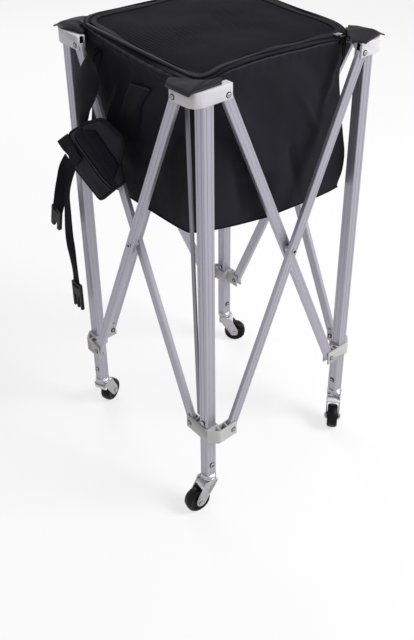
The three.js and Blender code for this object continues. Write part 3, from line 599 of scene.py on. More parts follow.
class HOPPER_OT_castings(bpy.types.Operator):
    """Softly shaded brackets, sliders, forks, axles and wheels, welded from the frame's own solids"""

    bl_idname = "hopper.castings"
    bl_label = "Brackets, sliders and casters"

    # Kind, its body, its finish and slot, and the angle that its shading softens to
    kinds = (
        ("bracket", "leg", "bracket", "brackets", 32), ("slider", "slider", "slider", "sliders", 32),
        ("fork", "fork", "steel", "steel", 32), ("wheel", "wheel", "wheel", "tyre", 40),
        ("axle", "fork", "steel", "steel", 32))
    # An upright corner that is taller than this and turns between these angles is rounded to the radius
    corner_tall, corner_turns, corner_radius = 0.018, (12, 60), 0.0045
    # How far a caster widens along its axle, the height of the fork's head and how far that is enlarged
    widening, head_tall, head_scale = 1.1, 0.017, (1.12, 1.22, 1)
    # The cover between the fork's plates: it spans their spread below this height less an inset, then its
    # place off the kingpin and over the floor, its size and its rounded edge
    plates_top, cover_inset, cover_shift, cover_height = 0.045, 0.0004, 0.005, 0.0605
    cover_long, cover_thick, cover_edge = 0.034, 0.008, 0.0016

    def execute(self, context):
        joints = {joint["name"]: joint for joint in frame["joints"]}
        for kind, body, finish, slot, angle in self.kinds:
            for corner in CORNERS:
                piece = self.copy_of(f"{kind}_{corner}", finishes()[finish])
                if kind in ("bracket", "slider"):
                    self.round_off(piece.data)
                else:
                    self.stretch(piece, joints["roll_" + corner], joints["swivel_" + corner], kind == "fork")
                smooth(piece, angle)
                carry(piece, f"{corner}_{body}", slot)
        return {"FINISHED"}

    @staticmethod
    def copy_of(node, material):
        deselect()
        bpy.ops.mesh.primitive_cube_add(size=1)
        bpy.context.object.data = frame["nodes"][node].data.copy()
        piece = adopt("soft_" + node, material)
        with editing():
            bpy.ops.mesh.remove_doubles(threshold=WELD)
        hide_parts(node)
        return piece

    def round_off(self, mesh):
        """Rounds the shallow upright corners, which the frame keeps as flats."""
        with editing():
            bpy.ops.mesh.select_mode(type="FACE")
            bpy.ops.mesh.dissolve_limited(angle_limit=math.radians(2))
            bpy.ops.mesh.select_mode(type="EDGE")
        normals = {}
        for face in mesh.polygons:
            for key in face.edge_keys:
                normals.setdefault(key, []).append(face.normal.copy())
        least, most = self.corner_turns

        def corner(edge):
            low, high = (mesh.vertices[i].co.z for i in edge.vertices)
            turn = math.degrees(normals[edge.key][0].angle(normals[edge.key][-1]))
            return abs(high - low) > self.corner_tall and least < turn < most

        with editing_only(mesh, "edges", corner):
            bpy.ops.mesh.bevel(offset=self.corner_radius, segments=4, affect="EDGES", clamp_overlap=False)
            bpy.ops.mesh.select_mode(type="VERT")

    def stretch(self, piece, roll, swivel, head):
        """Widens a caster piece along its axle about the swivel, and a fork's head all round."""
        middle = Vector((*swivel["pos_m"][:2], 0))
        turn = Matrix.Rotation(-math.atan2(roll["axis"][1], roll["axis"][0]), 4, "Z")
        piece.matrix_world = turn @ Matrix.Translation(-middle)
        bpy.ops.object.transform_apply()
        piece.scale = (self.widening, 1, 1)
        bpy.ops.object.transform_apply()
        if head:
            self.enlarge(piece, math.copysign(self.cover_shift, (turn @ (Vector(roll["pos_m"]) - middle)).y))
        piece.matrix_world = Matrix.Translation(middle) @ turn.inverted()
        bpy.ops.object.transform_apply()

    def enlarge(self, fork, shift):
        """Enlarges a fork's head and covers the gap between its plates."""
        top = max(v.co.z for v in fork.data.vertices)
        with editing_only(fork.data, "vertices", lambda v: v.co.z > top - self.head_tall):
            bpy.ops.transform.resize(value=self.head_scale, center_override=(0, 0, top))
        reach = max(abs(v.co.x) for v in fork.data.vertices if v.co.z < self.plates_top) - self.cover_inset
        bpy.ops.mesh.primitive_cube_add(size=1, location=(0, shift, self.cover_height))
        cover = bpy.context.object
        cover.scale = (2 * reach, self.cover_long, self.cover_thick)
        bpy.ops.object.transform_apply()
        modify(cover, "BEVEL", width=self.cover_edge, segments=3)
        choose(fork, cover)
        bpy.ops.object.join()


class HOPPER_OT_rivets(bpy.types.Operator):
    """Domed heads on the pivot rivets of the brackets and sliders, each with a dark ring of painted shade
    round it
    """

    bl_idname = "hopper.rivets"
    bl_label = "Rivet heads"

    # Front and back of the arm that is set outward and of the flush one, and the rivet's place along its arm
    set_out, flush, along = (0.0313, 0.0152), (0.0143, -0.0018), 0.037
    # Carrier, its body, the height of its rivets and the arm that is set outward
    carriers = (("bracket", "leg", 0.876, "y"), ("slider", "slider", 0.198, "x"))
    # Radius and height of a head, then radius and thickness of the dark ring of painted shade round it
    head_radius, head_tall, gap_radius, gap_thick = 0.0034, 0.0021, 0.0041, 0.0012

    def execute(self, context):
        for corner in CORNERS:
            for carrier, body, height, outset in self.carriers:
                places = []
                for arm in ("x", "y"):
                    front, back = self.set_out if arm == outset else self.flush
                    places += [(arm, -front, -1, height), (arm, -back, 1, height)]
                # The second group is dark rings of painted shade round the heads, made in the black buckle
                # plastic
                groups = (("rivets", self.dome, "rivet"), ("rivet_gaps", self.ring, "buckle"))
                for group, shape, finish in groups:
                    self.spread(corner, places, shape)
                    piece = adopt(f"{group}_{carrier}_{corner}", finishes()[finish])
                    smooth(piece, 50)
                    carry(piece, f"{corner}_{body}", "steel")
        return {"FINISHED"}

    def dome(self):
        bpy.ops.mesh.primitive_uv_sphere_add(segments=24, ring_count=12, radius=1)
        with editing():
            bpy.ops.mesh.bisect(plane_co=(0, 0, 0), plane_no=(0, 0, 1), use_fill=True, clear_inner=True)
        bpy.context.object.scale = (self.head_radius, self.head_radius, self.head_tall)

    def ring(self):
        """A dark ring of painted shade round a rivet's head."""
        bpy.ops.mesh.primitive_torus_add(
            major_segments=24, minor_segments=6, major_radius=self.gap_radius, minor_radius=self.gap_thick)

    def spread(self, corner, places, shape):
        """Makes a shape at each place about a corner and joins them."""
        parts = []
        for arm, face, way, height in places:
            deselect()
            shape()
            parts.append(bpy.context.object)
            normal = Vector((0, way, 0)) if arm == "x" else Vector((way, 0, 0))
            point = (self.along, face, height) if arm == "x" else (face, self.along, height)
            face_out(parts[-1], quarter(corner) @ normal)
            parts[-1].location = turned(point, corner)
        choose(*parts)
        bpy.ops.object.join()


class HOPPER_OT_bolts(bpy.types.Operator):
    """Painted shade: dark rings round the cross bolts, snap buttons and crossing rivets, and dark bars for
    the slots across their heads
    """

    bl_idname = "hopper.bolts"
    bl_label = "Bolt gaps and slots"

    # Height over the floor, radius of the painted shade ring and how high a slotted head stands
    bolt, button = (0.112, 0.0050, 0.0034), (0.222, 0.0046, 0)
    # The same for a crossing rivet without its height, and how deep its painted shade ring is let in
    crossing_gap, let_in = (0.0020, 0.0005), 0.0002
    # Thickness of the painted shade rings, and size of the dark bar painted as the shade in a head's slot
    gap_thick, slot_size = 0.0009, (0.0058, 0.0014, 0.0008)
    crossings = {
        "left_near": "near_left_bar", "near_right": "right_near_bar", "right_back": "back_right_bar",
        "back_left": "left_back_bar"}

    def execute(self, context):
        for corner in CORNERS:
            for way, side in ((-1, "out"), (1, "in")):
                self.on_leg(f"bolt_gap_{corner}_{side}", corner, Vector((0, way, 0)), *self.bolt)
        for corner, way in (("near", -1), ("back", 1)):
            self.on_leg("button_gap_" + corner, corner, Vector((way, 0, 0)), *self.button)
        for rivet, body in self.crossings.items():
            self.on_crossing(rivet, body)
        return {"FINISHED"}

    def on_leg(self, name, corner, way, height, radius, head):
        at = turned(way * LEG_HALF + Vector((0, 0, height)), corner)
        self.gap(name, corner + "_leg", quarter(corner) @ way, at, radius, head)

    def on_crossing(self, rivet, body):
        node = frame["nodes"]["crossing_" + rivet]
        points = [node.matrix_world @ v.co for v in node.data.vertices]
        low, high = (Vector(pick(p[i] for p in points) for i in range(3)) for pick in (min, max))
        middle = (low + high) / 2
        side = 0 if abs(middle.x) > abs(middle.y) else 1
        way = Vector((0, 0, 0))
        way[side] = math.copysign(1, middle[side])
        at = middle + way * ((high - low)[side] / 2 - self.let_in)
        self.gap("crossing_gap_" + rivet, body, way, at, *self.crossing_gap)

    def gap(self, name, body, way, at, radius, head):
        """A dark ring of painted shade that faces a way, and a dark bar of painted slot shade across the head
        that stands this high, if there is one.
        """
        deselect()
        bpy.ops.mesh.primitive_torus_add(
            major_segments=32, minor_segments=6, major_radius=radius, minor_radius=self.gap_thick)
        ring = bpy.context.object
        if head:
            # A dark bar across the head: painted shade of its slot
            bpy.ops.mesh.primitive_cube_add(size=1, location=(0, 0, head))
            slot = bpy.context.object
            slot.scale = self.slot_size
            choose(slot, ring)
            bpy.ops.object.join()
            bpy.ops.object.transform_apply()
            ring = slot
        face_out(ring, way)
        ring.location = at
        piece = adopt(name, finishes()["buckle"])
        smooth(piece, 50)
        carry(piece, body, "steel")


class HOPPER_OT_bag(bpy.types.Operator):
    """The bag's four side panels, its floor, the sleeve and the rolled rim"""

    bl_idname = "hopper.bag"
    bl_label = "Bag"

    bodies = {
        "near_left": "near_leg", "near_right": "near_leg", "back_right": "right_leg", "back_left": "left_leg"}
    facing = {"near_left": (-1, 0), "near_right": (0, -1), "back_right": (1, 0), "back_left": (0, 1)}
    # How far a panel's ends stand past the bag's plain corner, from the bottom up, then at the left corner
    corner_swell = metres((-2, 4, 5, 1, -3, -6.5, -9.5, -9, -7))
    left_corner_swell = metres((-2, 4, 5, 1, -2, -3, 0, 3.5, 4.5))
    # Each crease from one point to another on its panel, then its half width and how far it stands out
    creases = metres({
        "near_left": (
            (61, 810, 96, 722, 8, 4.5), (-51, 791, -11, 621, 13, -6), (-116, 778, -97, 628, 11, -6),
            (-150, 840, -60, 700, 12, 3)),
        "near_right": (
            (43, 804, 86, 735, 7, 4.5), (24, 716, 45, 618, 10, -6.5), (-101, 720, -93, 640, 10, -5),
            (-38, 689, -40, 624, 10, -5), (-150, 880, -85, 800, 10, 3.5), (155, 870, 105, 790, 10, 3.5)),
        "back_right": (
            (50, 850, 95, 700, 11, -5), (-80, 840, -50, 640, 12, -6), (0, 760, 10, 640, 11, 4)),
        "back_left": (
            (-70, 850, -105, 700, 11, -5), (60, 830, 40, 640, 12, -6), (-10, 760, -15, 640, 11, 4)),
    })
    # How far the cloth stands out: belly, waves, fine waves, puckers, top edge and the near left side's roll
    belly, waves, fine_waves, puckers, top_edge, roll = metres((8, 8, 2.2, 0.7, 3, 6.5))
    # How far under the top edge the roll stands out most, and its half width
    roll_drop, roll_wide = 0.007, 0.009
    # The bottom seam: its start over the named bottom, its fall to the right, its sag away from the near
    # right side, and its further sag on the near left side
    seam_start, seam_fall, seam_sag, left_sag = metres((4, 21, 4, 5))
    # The seam's blunt near corner: how far it lifts, its middle along x, and its half lengths along x and y
    blunt_lift, blunt_middle, blunt_long, blunt_wide = metres((13, -150, 120, 45))
    # The rim's rolls, the seam's piping and the sleeve's hem
    wide_roll, slim_roll, piping, hem = metres((3.6, 2, 2.2, 1.3))
    # The sleeve's front and rear edges from its top down, its least and further lift, and its hem's lift
    sleeve_edges = metres((
        ((24, 835), (41, 809), (53, 775), (66, 732)),
        ((-37, 842.5), (-10, 805), (-3, 775), (12, 735))))
    sleeve_lift, sleeve_puff, hem_lift = metres((2.2, 4, 6.2))
    # The floor's gap to the panels, its sag in the middle and its waves
    floor_gap, floor_sag, floor_waves = metres((1, 12, 6))

    def bottom(self, x, y):
        """The height of the bottom seam, which hangs lower to the right and is blunt at the near corner."""
        sizes = bpy.context.scene.hopper_sizes
        right, left = (w / (2 * sizes.bag_half) + 0.5 for w in (x, y))
        off = math.hypot((x - self.blunt_middle) / self.blunt_long, (y + sizes.bag_half) / self.blunt_wide)
        left = max(left, 0)
        slack = self.seam_sag * min(1, 4 * left) + self.left_sag * min(1, 7 * left) * max(0, 1 - right)
        start = sizes.bag_bottom + self.seam_start
        return start - self.seam_fall * right - slack + self.blunt_lift * max(0.0, 1 - off)

    def swell(self, side, u, v):
        """How far a panel's end stands past the bag's plain corner, most at the left corner's top."""
        toward_left = {"near_left": u, "back_left": 1 - u}.get(side, 0)
        plain, left = curve(self.corner_swell, v), curve(self.left_corner_swell, v)
        return plain + (left - plain) * rise(toward_left, 0.5, 0.9)

    def plan(self, side, s, out):
        """The x and y of a place s along a panel and out from the bag's middle."""
        way = self.facing[side]
        return (way[0] * out, s) if way[0] else (s, way[1] * out)

    def spot(self, side, u, v, lift=0.0):
        """The cloth at share u along a panel and v up it, standing lift further out."""
        half = bpy.context.scene.hopper_sizes.bag_half
        swell = self.swell(side, u, v)
        s, edge = (2 * u - 1) * (half + swell), abs(2 * u - 1)
        x, y = self.plan(side, s, half)
        low, top = self.bottom(x, y), rim(x, y) - RIM_DROP
        z = low + (top - low) * v
        hold = 1 - edge ** 4
        belly = self.belly * hold * math.sin(HALF_TURN * min(1, (1 - v) * 0.75 + 0.05))
        seed = 3 * list(self.facing).index(side)
        loose = min(1, v * 5) * min(1, (1 - v) * 8) * min(1, (1 - edge) * 5)
        waves = noise.noise(Vector((s * 11 + seed, z * 10, seed))) * self.waves
        fine_waves = noise.noise(Vector((s * 30 + z * 12, z * 26, seed + 5))) * self.fine_waves
        folds = sum(ridge(s, z, line) for line in self.creases[side])
        pucker = math.sin(s * 260 + seed) * self.puckers * rise(v, 0.9, 1) * hold
        out = half + swell * edge ** 6 + belly + loose * (waves + fine_waves + folds) + pucker + lift
        out += self.top_edge * rise(v, 0.93, 1) * hold
        if side == "near_left":  # its top rolls over into the lid
            out += self.roll * hold * math.exp(-((top - z - self.roll_drop) / self.roll_wide) ** 2)
        return Vector((*self.plan(side, s, out), z))

    def at(self, side, s, z, lift):
        """The cloth at a distance s along a panel and a height z."""
        half = bpy.context.scene.hopper_sizes.bag_half
        x, y = self.plan(side, s, half)
        low = self.bottom(x, y)
        v = (z - low) / (rim(x, y) - RIM_DROP - low)
        u = s / (2 * half) + 0.5
        return self.spot(side, (s / (half + self.swell(side, u, v)) + 1) / 2, v, lift)

    def fasten(self, piece, side):
        """Hangs a piece on a panel's body, to fold with it."""
        carry(piece, self.bodies[side], "cloth")
        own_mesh(piece)

    def execute(self, context):
        sizes = context.scene.hopper_sizes
        made = finishes()
        for side in self.facing:
            place = partial(self.spot, side)
            panel = sheet("panel_" + side, made["cloth"], 56, 48, place, sizes.cloth, (0.33, 0.29))
            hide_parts("bag_" + side)
            self.fasten(panel, side)
            top, seam = ([self.spot(side, u, v) for u in shares(40)] for v in (1, 0))
            radius = self.wide_roll if side == "near_left" else self.slim_roll
            # The rim's rolls take the rim cloth, lighter by its painted highlight
            self.fasten(tube("rim_" + side, made["rim"], top, radius, 12, steps=80, oval=(1, 0.8)), side)
            self.fasten(tube("seam_" + side, made["binding"], seam, self.piping, 8, steps=80), side)
        self.sleeve(made, sizes)
        self.floor(made, sizes)
        return {"FINISHED"}

    def sleeve(self, made, sizes):
        """The raised sleeve on the near left panel, which holds the top of the stay."""
        front, rear = ([Vector(p) for p in edge] for edge in self.sleeve_edges)

        def place(u, v):
            flat = curve(front, v).lerp(curve(rear, v), u)
            sides = min(1, 6 * u, 6 * (1 - u))
            lift = self.sleeve_lift + self.sleeve_puff * sides * (1 - rise(v, 0.15, 1))
            return self.at("near_left", flat.x, flat.y, lift)

        piece = sheet("sleeve", made["cloth"], 18, 22, place, sizes.cloth, (0.058, 0.11))
        self.fasten(piece, "near_left")
        top = [front[0].lerp(rear[0], share) for share in shares(12)]
        edge = [self.at("near_left", p.x, p.y, self.hem_lift) for p in top]
        self.fasten(tube("sleeve_hem", made["rim"], edge, self.hem, 8), "near_left")

    def floor(self, made, sizes):
        """Four strips side by side, which ride on bodies from the near leg to the left leg."""
        half = sizes.bag_half
        for i, body in enumerate(("near_leg", "near_left_bar", "left_near_bar", "left_leg")):
            start = (i / 2 - 1) * half

            def place(u, v):
                x, y = (2 * u - 1) * (half - self.floor_gap), start + v * half / 2
                inside = (1 - (x / half) ** 2) * (1 - (y / half) ** 2)
                crease = noise.noise(Vector((x * 14, y * 14, 3))) * self.floor_waves * min(1, inside * 4)
                return Vector((x, y, self.bottom(x, y) - self.floor_sag * inside + crease))

            piece = sheet(f"floor_{i}", made["cloth"], 36, 12, place, sizes.cloth, (0.33, half / 2))
            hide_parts("bag_floor")
            carry(piece, body, "cloth")
            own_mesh(piece)


class HOPPER_OT_lid(bpy.types.Operator):
    """The mesh lid with its cloth border, piping, zip coil and slider"""

    bl_idname = "hopper.lid"
    bl_label = "Lid"

    # The lid's middle and half its spread along x and y, and its rounded corner, which shrinks with an inset
    middle, spread = Vector((0.001, 0.0045)), Vector((0.173, 0.1715))
    rounding, least_rounding, mesh_rounding = 0.034, 0.008, 0.014
    border, border_inset, zip_inset = 0.021, 0.0012, 0.0088
    # Soft and fine waves of the lid, and the lump toward its back corner
    waves, fine_waves, lump = metres((5, 1.5, 6))
    lump_x, lump_y, lump_spread = 0.120, 0.128, 0.0006
    # The border's bulge, its waves and how many of them there are, and the thickness of both cloths
    hem_bulge, hem_waves, hem_wave_count = 0.0016, 0.0008, 9
    mesh_thick, border_thick = 0.0014, 0.0018
    # Each run of trim: its finish, its inset from the edge, its lift, its radius and its oval
    trims = {
        "lid_piping": ("webbing", 0, 0.0002, 0.0018, (1, 0.9)),
        "lid_zip_tape": ("binding", zip_inset, 0.0010, 0.0034, (1, 0.35)),
        "lid_zip_coil": ("webbing", zip_inset, 0.0022, 0.0017, (1, 0.8)),
        "lid_seam": ("webbing", border, 0.0010, 0.0015, (1.2, 0.8)),
    }
    # The zip's slider: its place, its lift off the rim, its size and its bevel
    slider_x, slider_y, slider_lift = 0.138, -0.160, 0.0046
    slider_long, slider_wide, slider_high, slider_edge = metres((13, 10, 5.2, 0.8))

    def outline(self, share, inset):
        """A point on the lid's rounded square edge, share of the way round."""
        corner = max(self.rounding - inset, self.least_rounding)
        reach = self.spread - Vector((inset, inset))
        angle = TURN * share
        way = Vector((math.cos(angle), math.sin(angle)))
        point = way / max(abs(way.x), abs(way.y))
        point = Vector((point.x * reach.x, point.y * reach.y))
        over = Vector((max(0, abs(point.x) - reach.x + corner), max(0, abs(point.y) - reach.y + corner)))
        if min(over) > 0 and over.length > corner:
            over *= corner / over.length
            point.x = math.copysign(reach.x - corner + over.x, point.x)
            point.y = math.copysign(reach.y - corner + over.y, point.y)
        return self.middle + point

    def height(self, x, y):
        crown = bpy.context.scene.hopper_sizes.lid_crown
        share = max(abs(x - self.middle.x) / self.spread.x, abs(y - self.middle.y) / self.spread.y)
        inside = 1 - min(share, 1) ** 2
        waves = noise.noise(Vector((x * 9 + 4, y * 9, 2))) * self.waves
        waves += noise.noise(Vector((x * 24, y * 24, 7))) * self.fine_waves
        off = (x - self.lump_x) ** 2 + (y - self.lump_y) ** 2
        return rim(x, y) + crown * inside + waves * inside + self.lump * math.exp(-off / self.lump_spread)

    def around(self, name, material, inset, lift, radius, oval):
        """Piping that follows the lid's edge at an inset."""
        edge = [self.outline(i / 144, inset) for i in range(144)]
        points = [(p.x, p.y, self.height(p.x, p.y) + lift) for p in edge]
        return tube(name, material, points, radius, 10, True, 240, oval)

    def mesh_place(self, u, v):
        """A place on the mesh, which has rounded corners and closer rows toward two of its sides."""
        s, t = 2 * u - 1, 0.6 * (2 * v - 1) + 0.4 * math.sin(QUARTER * (2 * v - 1))
        reach = self.spread - Vector((self.border, self.border))
        short = self.mesh_rounding / reach.x
        over = max(0, (abs(t) - 1 + short) / short)
        width = 1 - short + short * math.sqrt(1 - min(over, 1) ** 2)
        s -= math.copysign((1 - width) * abs(s) ** 5, s)
        x, y = self.middle.x + reach.x * s, self.middle.y + reach.y * t
        return Vector((x, y, self.height(x, y)))

    def border_place(self, u, v):
        point = self.outline(u, self.border * v + self.border_inset)
        waves = self.hem_waves * math.sin(u * TURN * self.hem_wave_count + v * 4)
        bulge = self.hem_bulge * math.sin(HALF_TURN * v) + waves
        return Vector((point.x, point.y, self.height(point.x, point.y) + bulge))

    def execute(self, context):
        made = finishes()
        border, thick = self.border, self.border_thick
        cloth = sheet("lid_mesh", made["lid"], 56, 56, self.mesh_place, self.mesh_thick, (0.304, 0.301))
        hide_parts("bag_lid")
        ring = sheet("lid_border", made["cloth"], 192, 6, self.border_place, thick, (1.32, border), 0)
        trims = [self.around(name, made[finish], *sizes) for name, (finish, *sizes) in self.trims.items()]
        for piece in (cloth, ring, *trims, self.slider(made)):
            carry(piece, "lid", "lid_mesh")
            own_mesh(piece)
        return {"FINISHED"}

    def slider(self, made):
        """The zip's slider body, a waisted block on the coil by the right corner."""
        deselect()
        bpy.ops.mesh.primitive_cube_add(size=1)
        with editing():
            bpy.ops.mesh.subdivide(number_cuts=3)
        piece = adopt("zip_slider", made["rivet"])
        at = Vector((self.slider_x, self.slider_y, rim(self.slider_x, self.slider_y) + self.slider_lift))
        for vertex in piece.data.vertices:
            x, y, z = vertex.co
            wide = y * self.slider_wide * (1 - 0.28 * (1 - (2 * x) ** 2))
            high = z * self.slider_high * (1 + 0.5 * (0.25 - x ** 2))
            vertex.co = at + Vector((x * self.slider_long, wide, high))
        modify(piece, "BEVEL", width=self.slider_edge, segments=2)
        smooth(piece, 50)
        return piece


class HOPPER_OT_ears(bpy.types.Operator):
    """The corner ears of the bag, which lap over the top brackets"""

    bl_idname = "hopper.ears"
    bl_label = "Corner ears"

    # Outer edge and inner edge of each flap in its leg's own frame, then how far it puffs up
    outlines = metres({
        "near": (
            ((-38, 46), (-38, -10), (27, -9)), ((-18, 62), (14, 14), (44, 7)), 1),
        "right": (
            ((-34, 40), (-17, -29), (24, -17)), ((-20, 60), (23, 23), (46, -6)), 4),
        "back": (
            ((-36, 44), (-34, -20), (28, -14)), ((-20, 58), (19, 19), (44, 4)), 3),
        "left": (
            ((-47, 42), (-44, -6), (-4, -11)), ((-26, 64), (24, 26), (46, -2)), 8),
    })
    # The flaps' height over the floor, thickness, crease, waves and hem
    height, thick, crease, waves, hem = metres((895.6, 2.2, 1.6, 1.2, 1.4))
    # Beyond these places along x and y a flap falls over the bracket's edge, at this slope
    edge_x, edge_y, fall = -0.0315, -0.0146, 0.45

    @staticmethod
    def along(points, share):
        """A place on a bent edge of three points."""
        a, b, c = (Vector(p) for p in points)
        return a.lerp(b, 2 * share) if share < 0.5 else b.lerp(c, 2 * share - 1)

    def execute(self, context):
        for corner in CORNERS:
            outer, inner, puff = self.outlines[corner]

            def place(u, v):
                flat = self.along(inner, u).lerp(self.along(outer, u), v)
                beyond = max(0, self.edge_x - flat.x, self.edge_y - flat.y)
                swell = puff * math.sin(HALF_TURN * u) ** 0.7 * math.sin(HALF_TURN * min(v + 0.1, 1))
                crease = self.crease * math.exp(-((u - 0.5) / 0.07) ** 2) * math.sin(HALF_TURN * v)
                wave = self.waves * abs(math.sin(9 * u + 3 * v)) * (1 - v)
                height = self.height + swell + crease + wave - self.fall * beyond
                return turned((flat.x, flat.y, height), corner)

            edge = [self.along(outer, s) for s in shares(24)] + [self.along(inner, 1 - s) for s in shares(24)]
            area = abs(sum(a.x * b.y - b.x * a.y for a, b in zip(edge, edge[1:] + edge[:1]))) / 2
            piece = sheet("flap_" + corner, finishes()["cloth"], 20, 16, place, self.thick, (0.09, 0.04))
            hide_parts("ear_" + corner)
            carry(piece, corner + "_leg", "cloth")
            rolled = [place(s, 1) for s in shares(24)]
            hem = tube("flap_hem_" + corner, finishes()["rim"], rolled, self.hem, 8, steps=48)
            carry(hem, corner + "_leg", "cloth")
        return {"FINISHED"}


class HOPPER_OT_strap(bpy.types.Operator):
    """The shoulder strap's broad band and the two runs of webbing below its pad"""

    bl_idname = "hopper.strap"
    bl_label = "Shoulder strap"

    # Middle of the band and half its width as a vector, from the panel down to the pad
    band = metres((
        ((-166.8, 118, 869), (0, 9, 0)), ((-183, 110, 869), (0, 6, 0.2)),
        ((-199, 102.6, 866.5), (0, 5.3, 0.8)), ((-206, 93.2, 859.1), (0, 17.9, -1.8)),
        ((-213, 86.8, 848.8), (0, 27, -6.9)), ((-219, 82.5, 835.2), (0, 33.3, -10.8)),
        ((-222, 82, 817.9), (0, 33.6, -11.2)), ((-222, 86.8, 800.2), (0, 30.2, -12.8)),
        ((-222, 93.5, 783.5), (0, 23.8, -11.4)), ((-221, 101.9, 767.7), (0, 17.1, -8.1)),
        ((-220, 108.8, 753), (0, 12.1, -6.1)), ((-220, 110.5, 736.9), (0, 11.4, -5.9))))
    # How far the band's middle stands out past its edges, its hems' radius and how far out they lie
    band_cup, hem_radius, hem_share = 0.004, 0.0016, 0.97
    # The y and z of each run's places, then how far it turns out of the strap's plane at each
    front_run = metres((
        (166.4, 656.4), (184, 628.5), (196.8, 597.4), (208.3, 570.1), (218.8, 543), (232.1, 511.8)))
    rear_run = metres((
        (160, 645), (179, 608), (191, 572), (195.5, 528.6), (200, 475.6), (198.5, 441.3), (194.9, 411.7),
        (191.3, 376.3), (191.3, 340.8)))
    front_turns = (0, -0.45, -0.72, -0.72, -0.6, -0.35)
    rear_turns = (0, 0.1, 0.16, 0.05, -0.1, -0.16, 0, 0.1, 0)
    # Each run's place off the strap's plane, and how much wider the rear one is
    front_off, rear_off, rear_wider = -0.00125, 0.0020, 1.04

    def ribbon(self, name, material, stations, thick, replaces, steps, cup=0.0):
        """A flat band through stations, each a middle point and half its width as a vector."""
        centres, halves = ([Vector(place) for place in places] for places in zip(*stations))
        length = sum((b - a).length for a, b in zip(centres, centres[1:]))
        width = 2 * max(h.length for h in halves)

        def place(u, v):
            side = 2 * v - 1
            return curve(centres, u) + curve(halves, u) * side + Vector((-cup * (1 - side * side), 0, 0))

        piece = sheet(name, material, steps, 8, place, thick, (length, width))
        carry(piece, "left_leg", "webbing")
        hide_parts(replaces)
        return piece

    def hemmed(self, name, stations, share):
        """A stitched hem along one side of the band."""
        centres, halves = ([Vector(place) for place in places] for places in zip(*stations))
        points = [curve(centres, u) + curve(halves, u) * share for u in shares(40)]
        hem = tube(name, finishes()["binding"], points, self.hem_radius, 8, steps=80)
        carry(hem, "left_leg", "webbing")
        return hem

    def execute(self, context):
        made = finishes()
        sizes = context.scene.hopper_sizes
        thick, cup = sizes.strap_thick, self.band_cup
        band = self.ribbon("strap_band", made["strap"], self.band, thick, "strap", 60, cup)
        sides = (-self.hem_share, self.hem_share)
        hems = [self.hemmed(f"strap_hem_{i}", self.band, side) for i, side in enumerate(sides)]
        for piece in (band, *hems):
            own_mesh(piece)
        half = sizes.web_width / 2
        front = self.web(self.front_run, self.front_off, half, self.front_turns)
        rear = self.web(self.rear_run, self.rear_off, half * self.rear_wider, self.rear_turns)
        self.ribbon("web_front", made["webbing"], front, sizes.web_thick, "webbing_short", 48)
        self.ribbon("web_rear", made["webbing"], rear, sizes.web_thick, "webbing_long", 64)
        return {"FINISHED"}

    @staticmethod
    def web(run, off, half, turns):
        """Stations of a run of webbing, its width square to its length and turned out of the plane."""
        points = [Vector((STRAP_X + off, y, z)) for y, z in run]
        stations = []
        for i, (point, turn) in enumerate(zip(points, turns)):
            way = points[min(i + 1, len(points) - 1)] - points[max(i - 1, 0)]
            across = Vector((0, -way.z, way.y)).normalized()
            stations.append((point, half * (across * math.cos(turn) + Vector((math.sin(turn), 0, 0)))))
        return stations


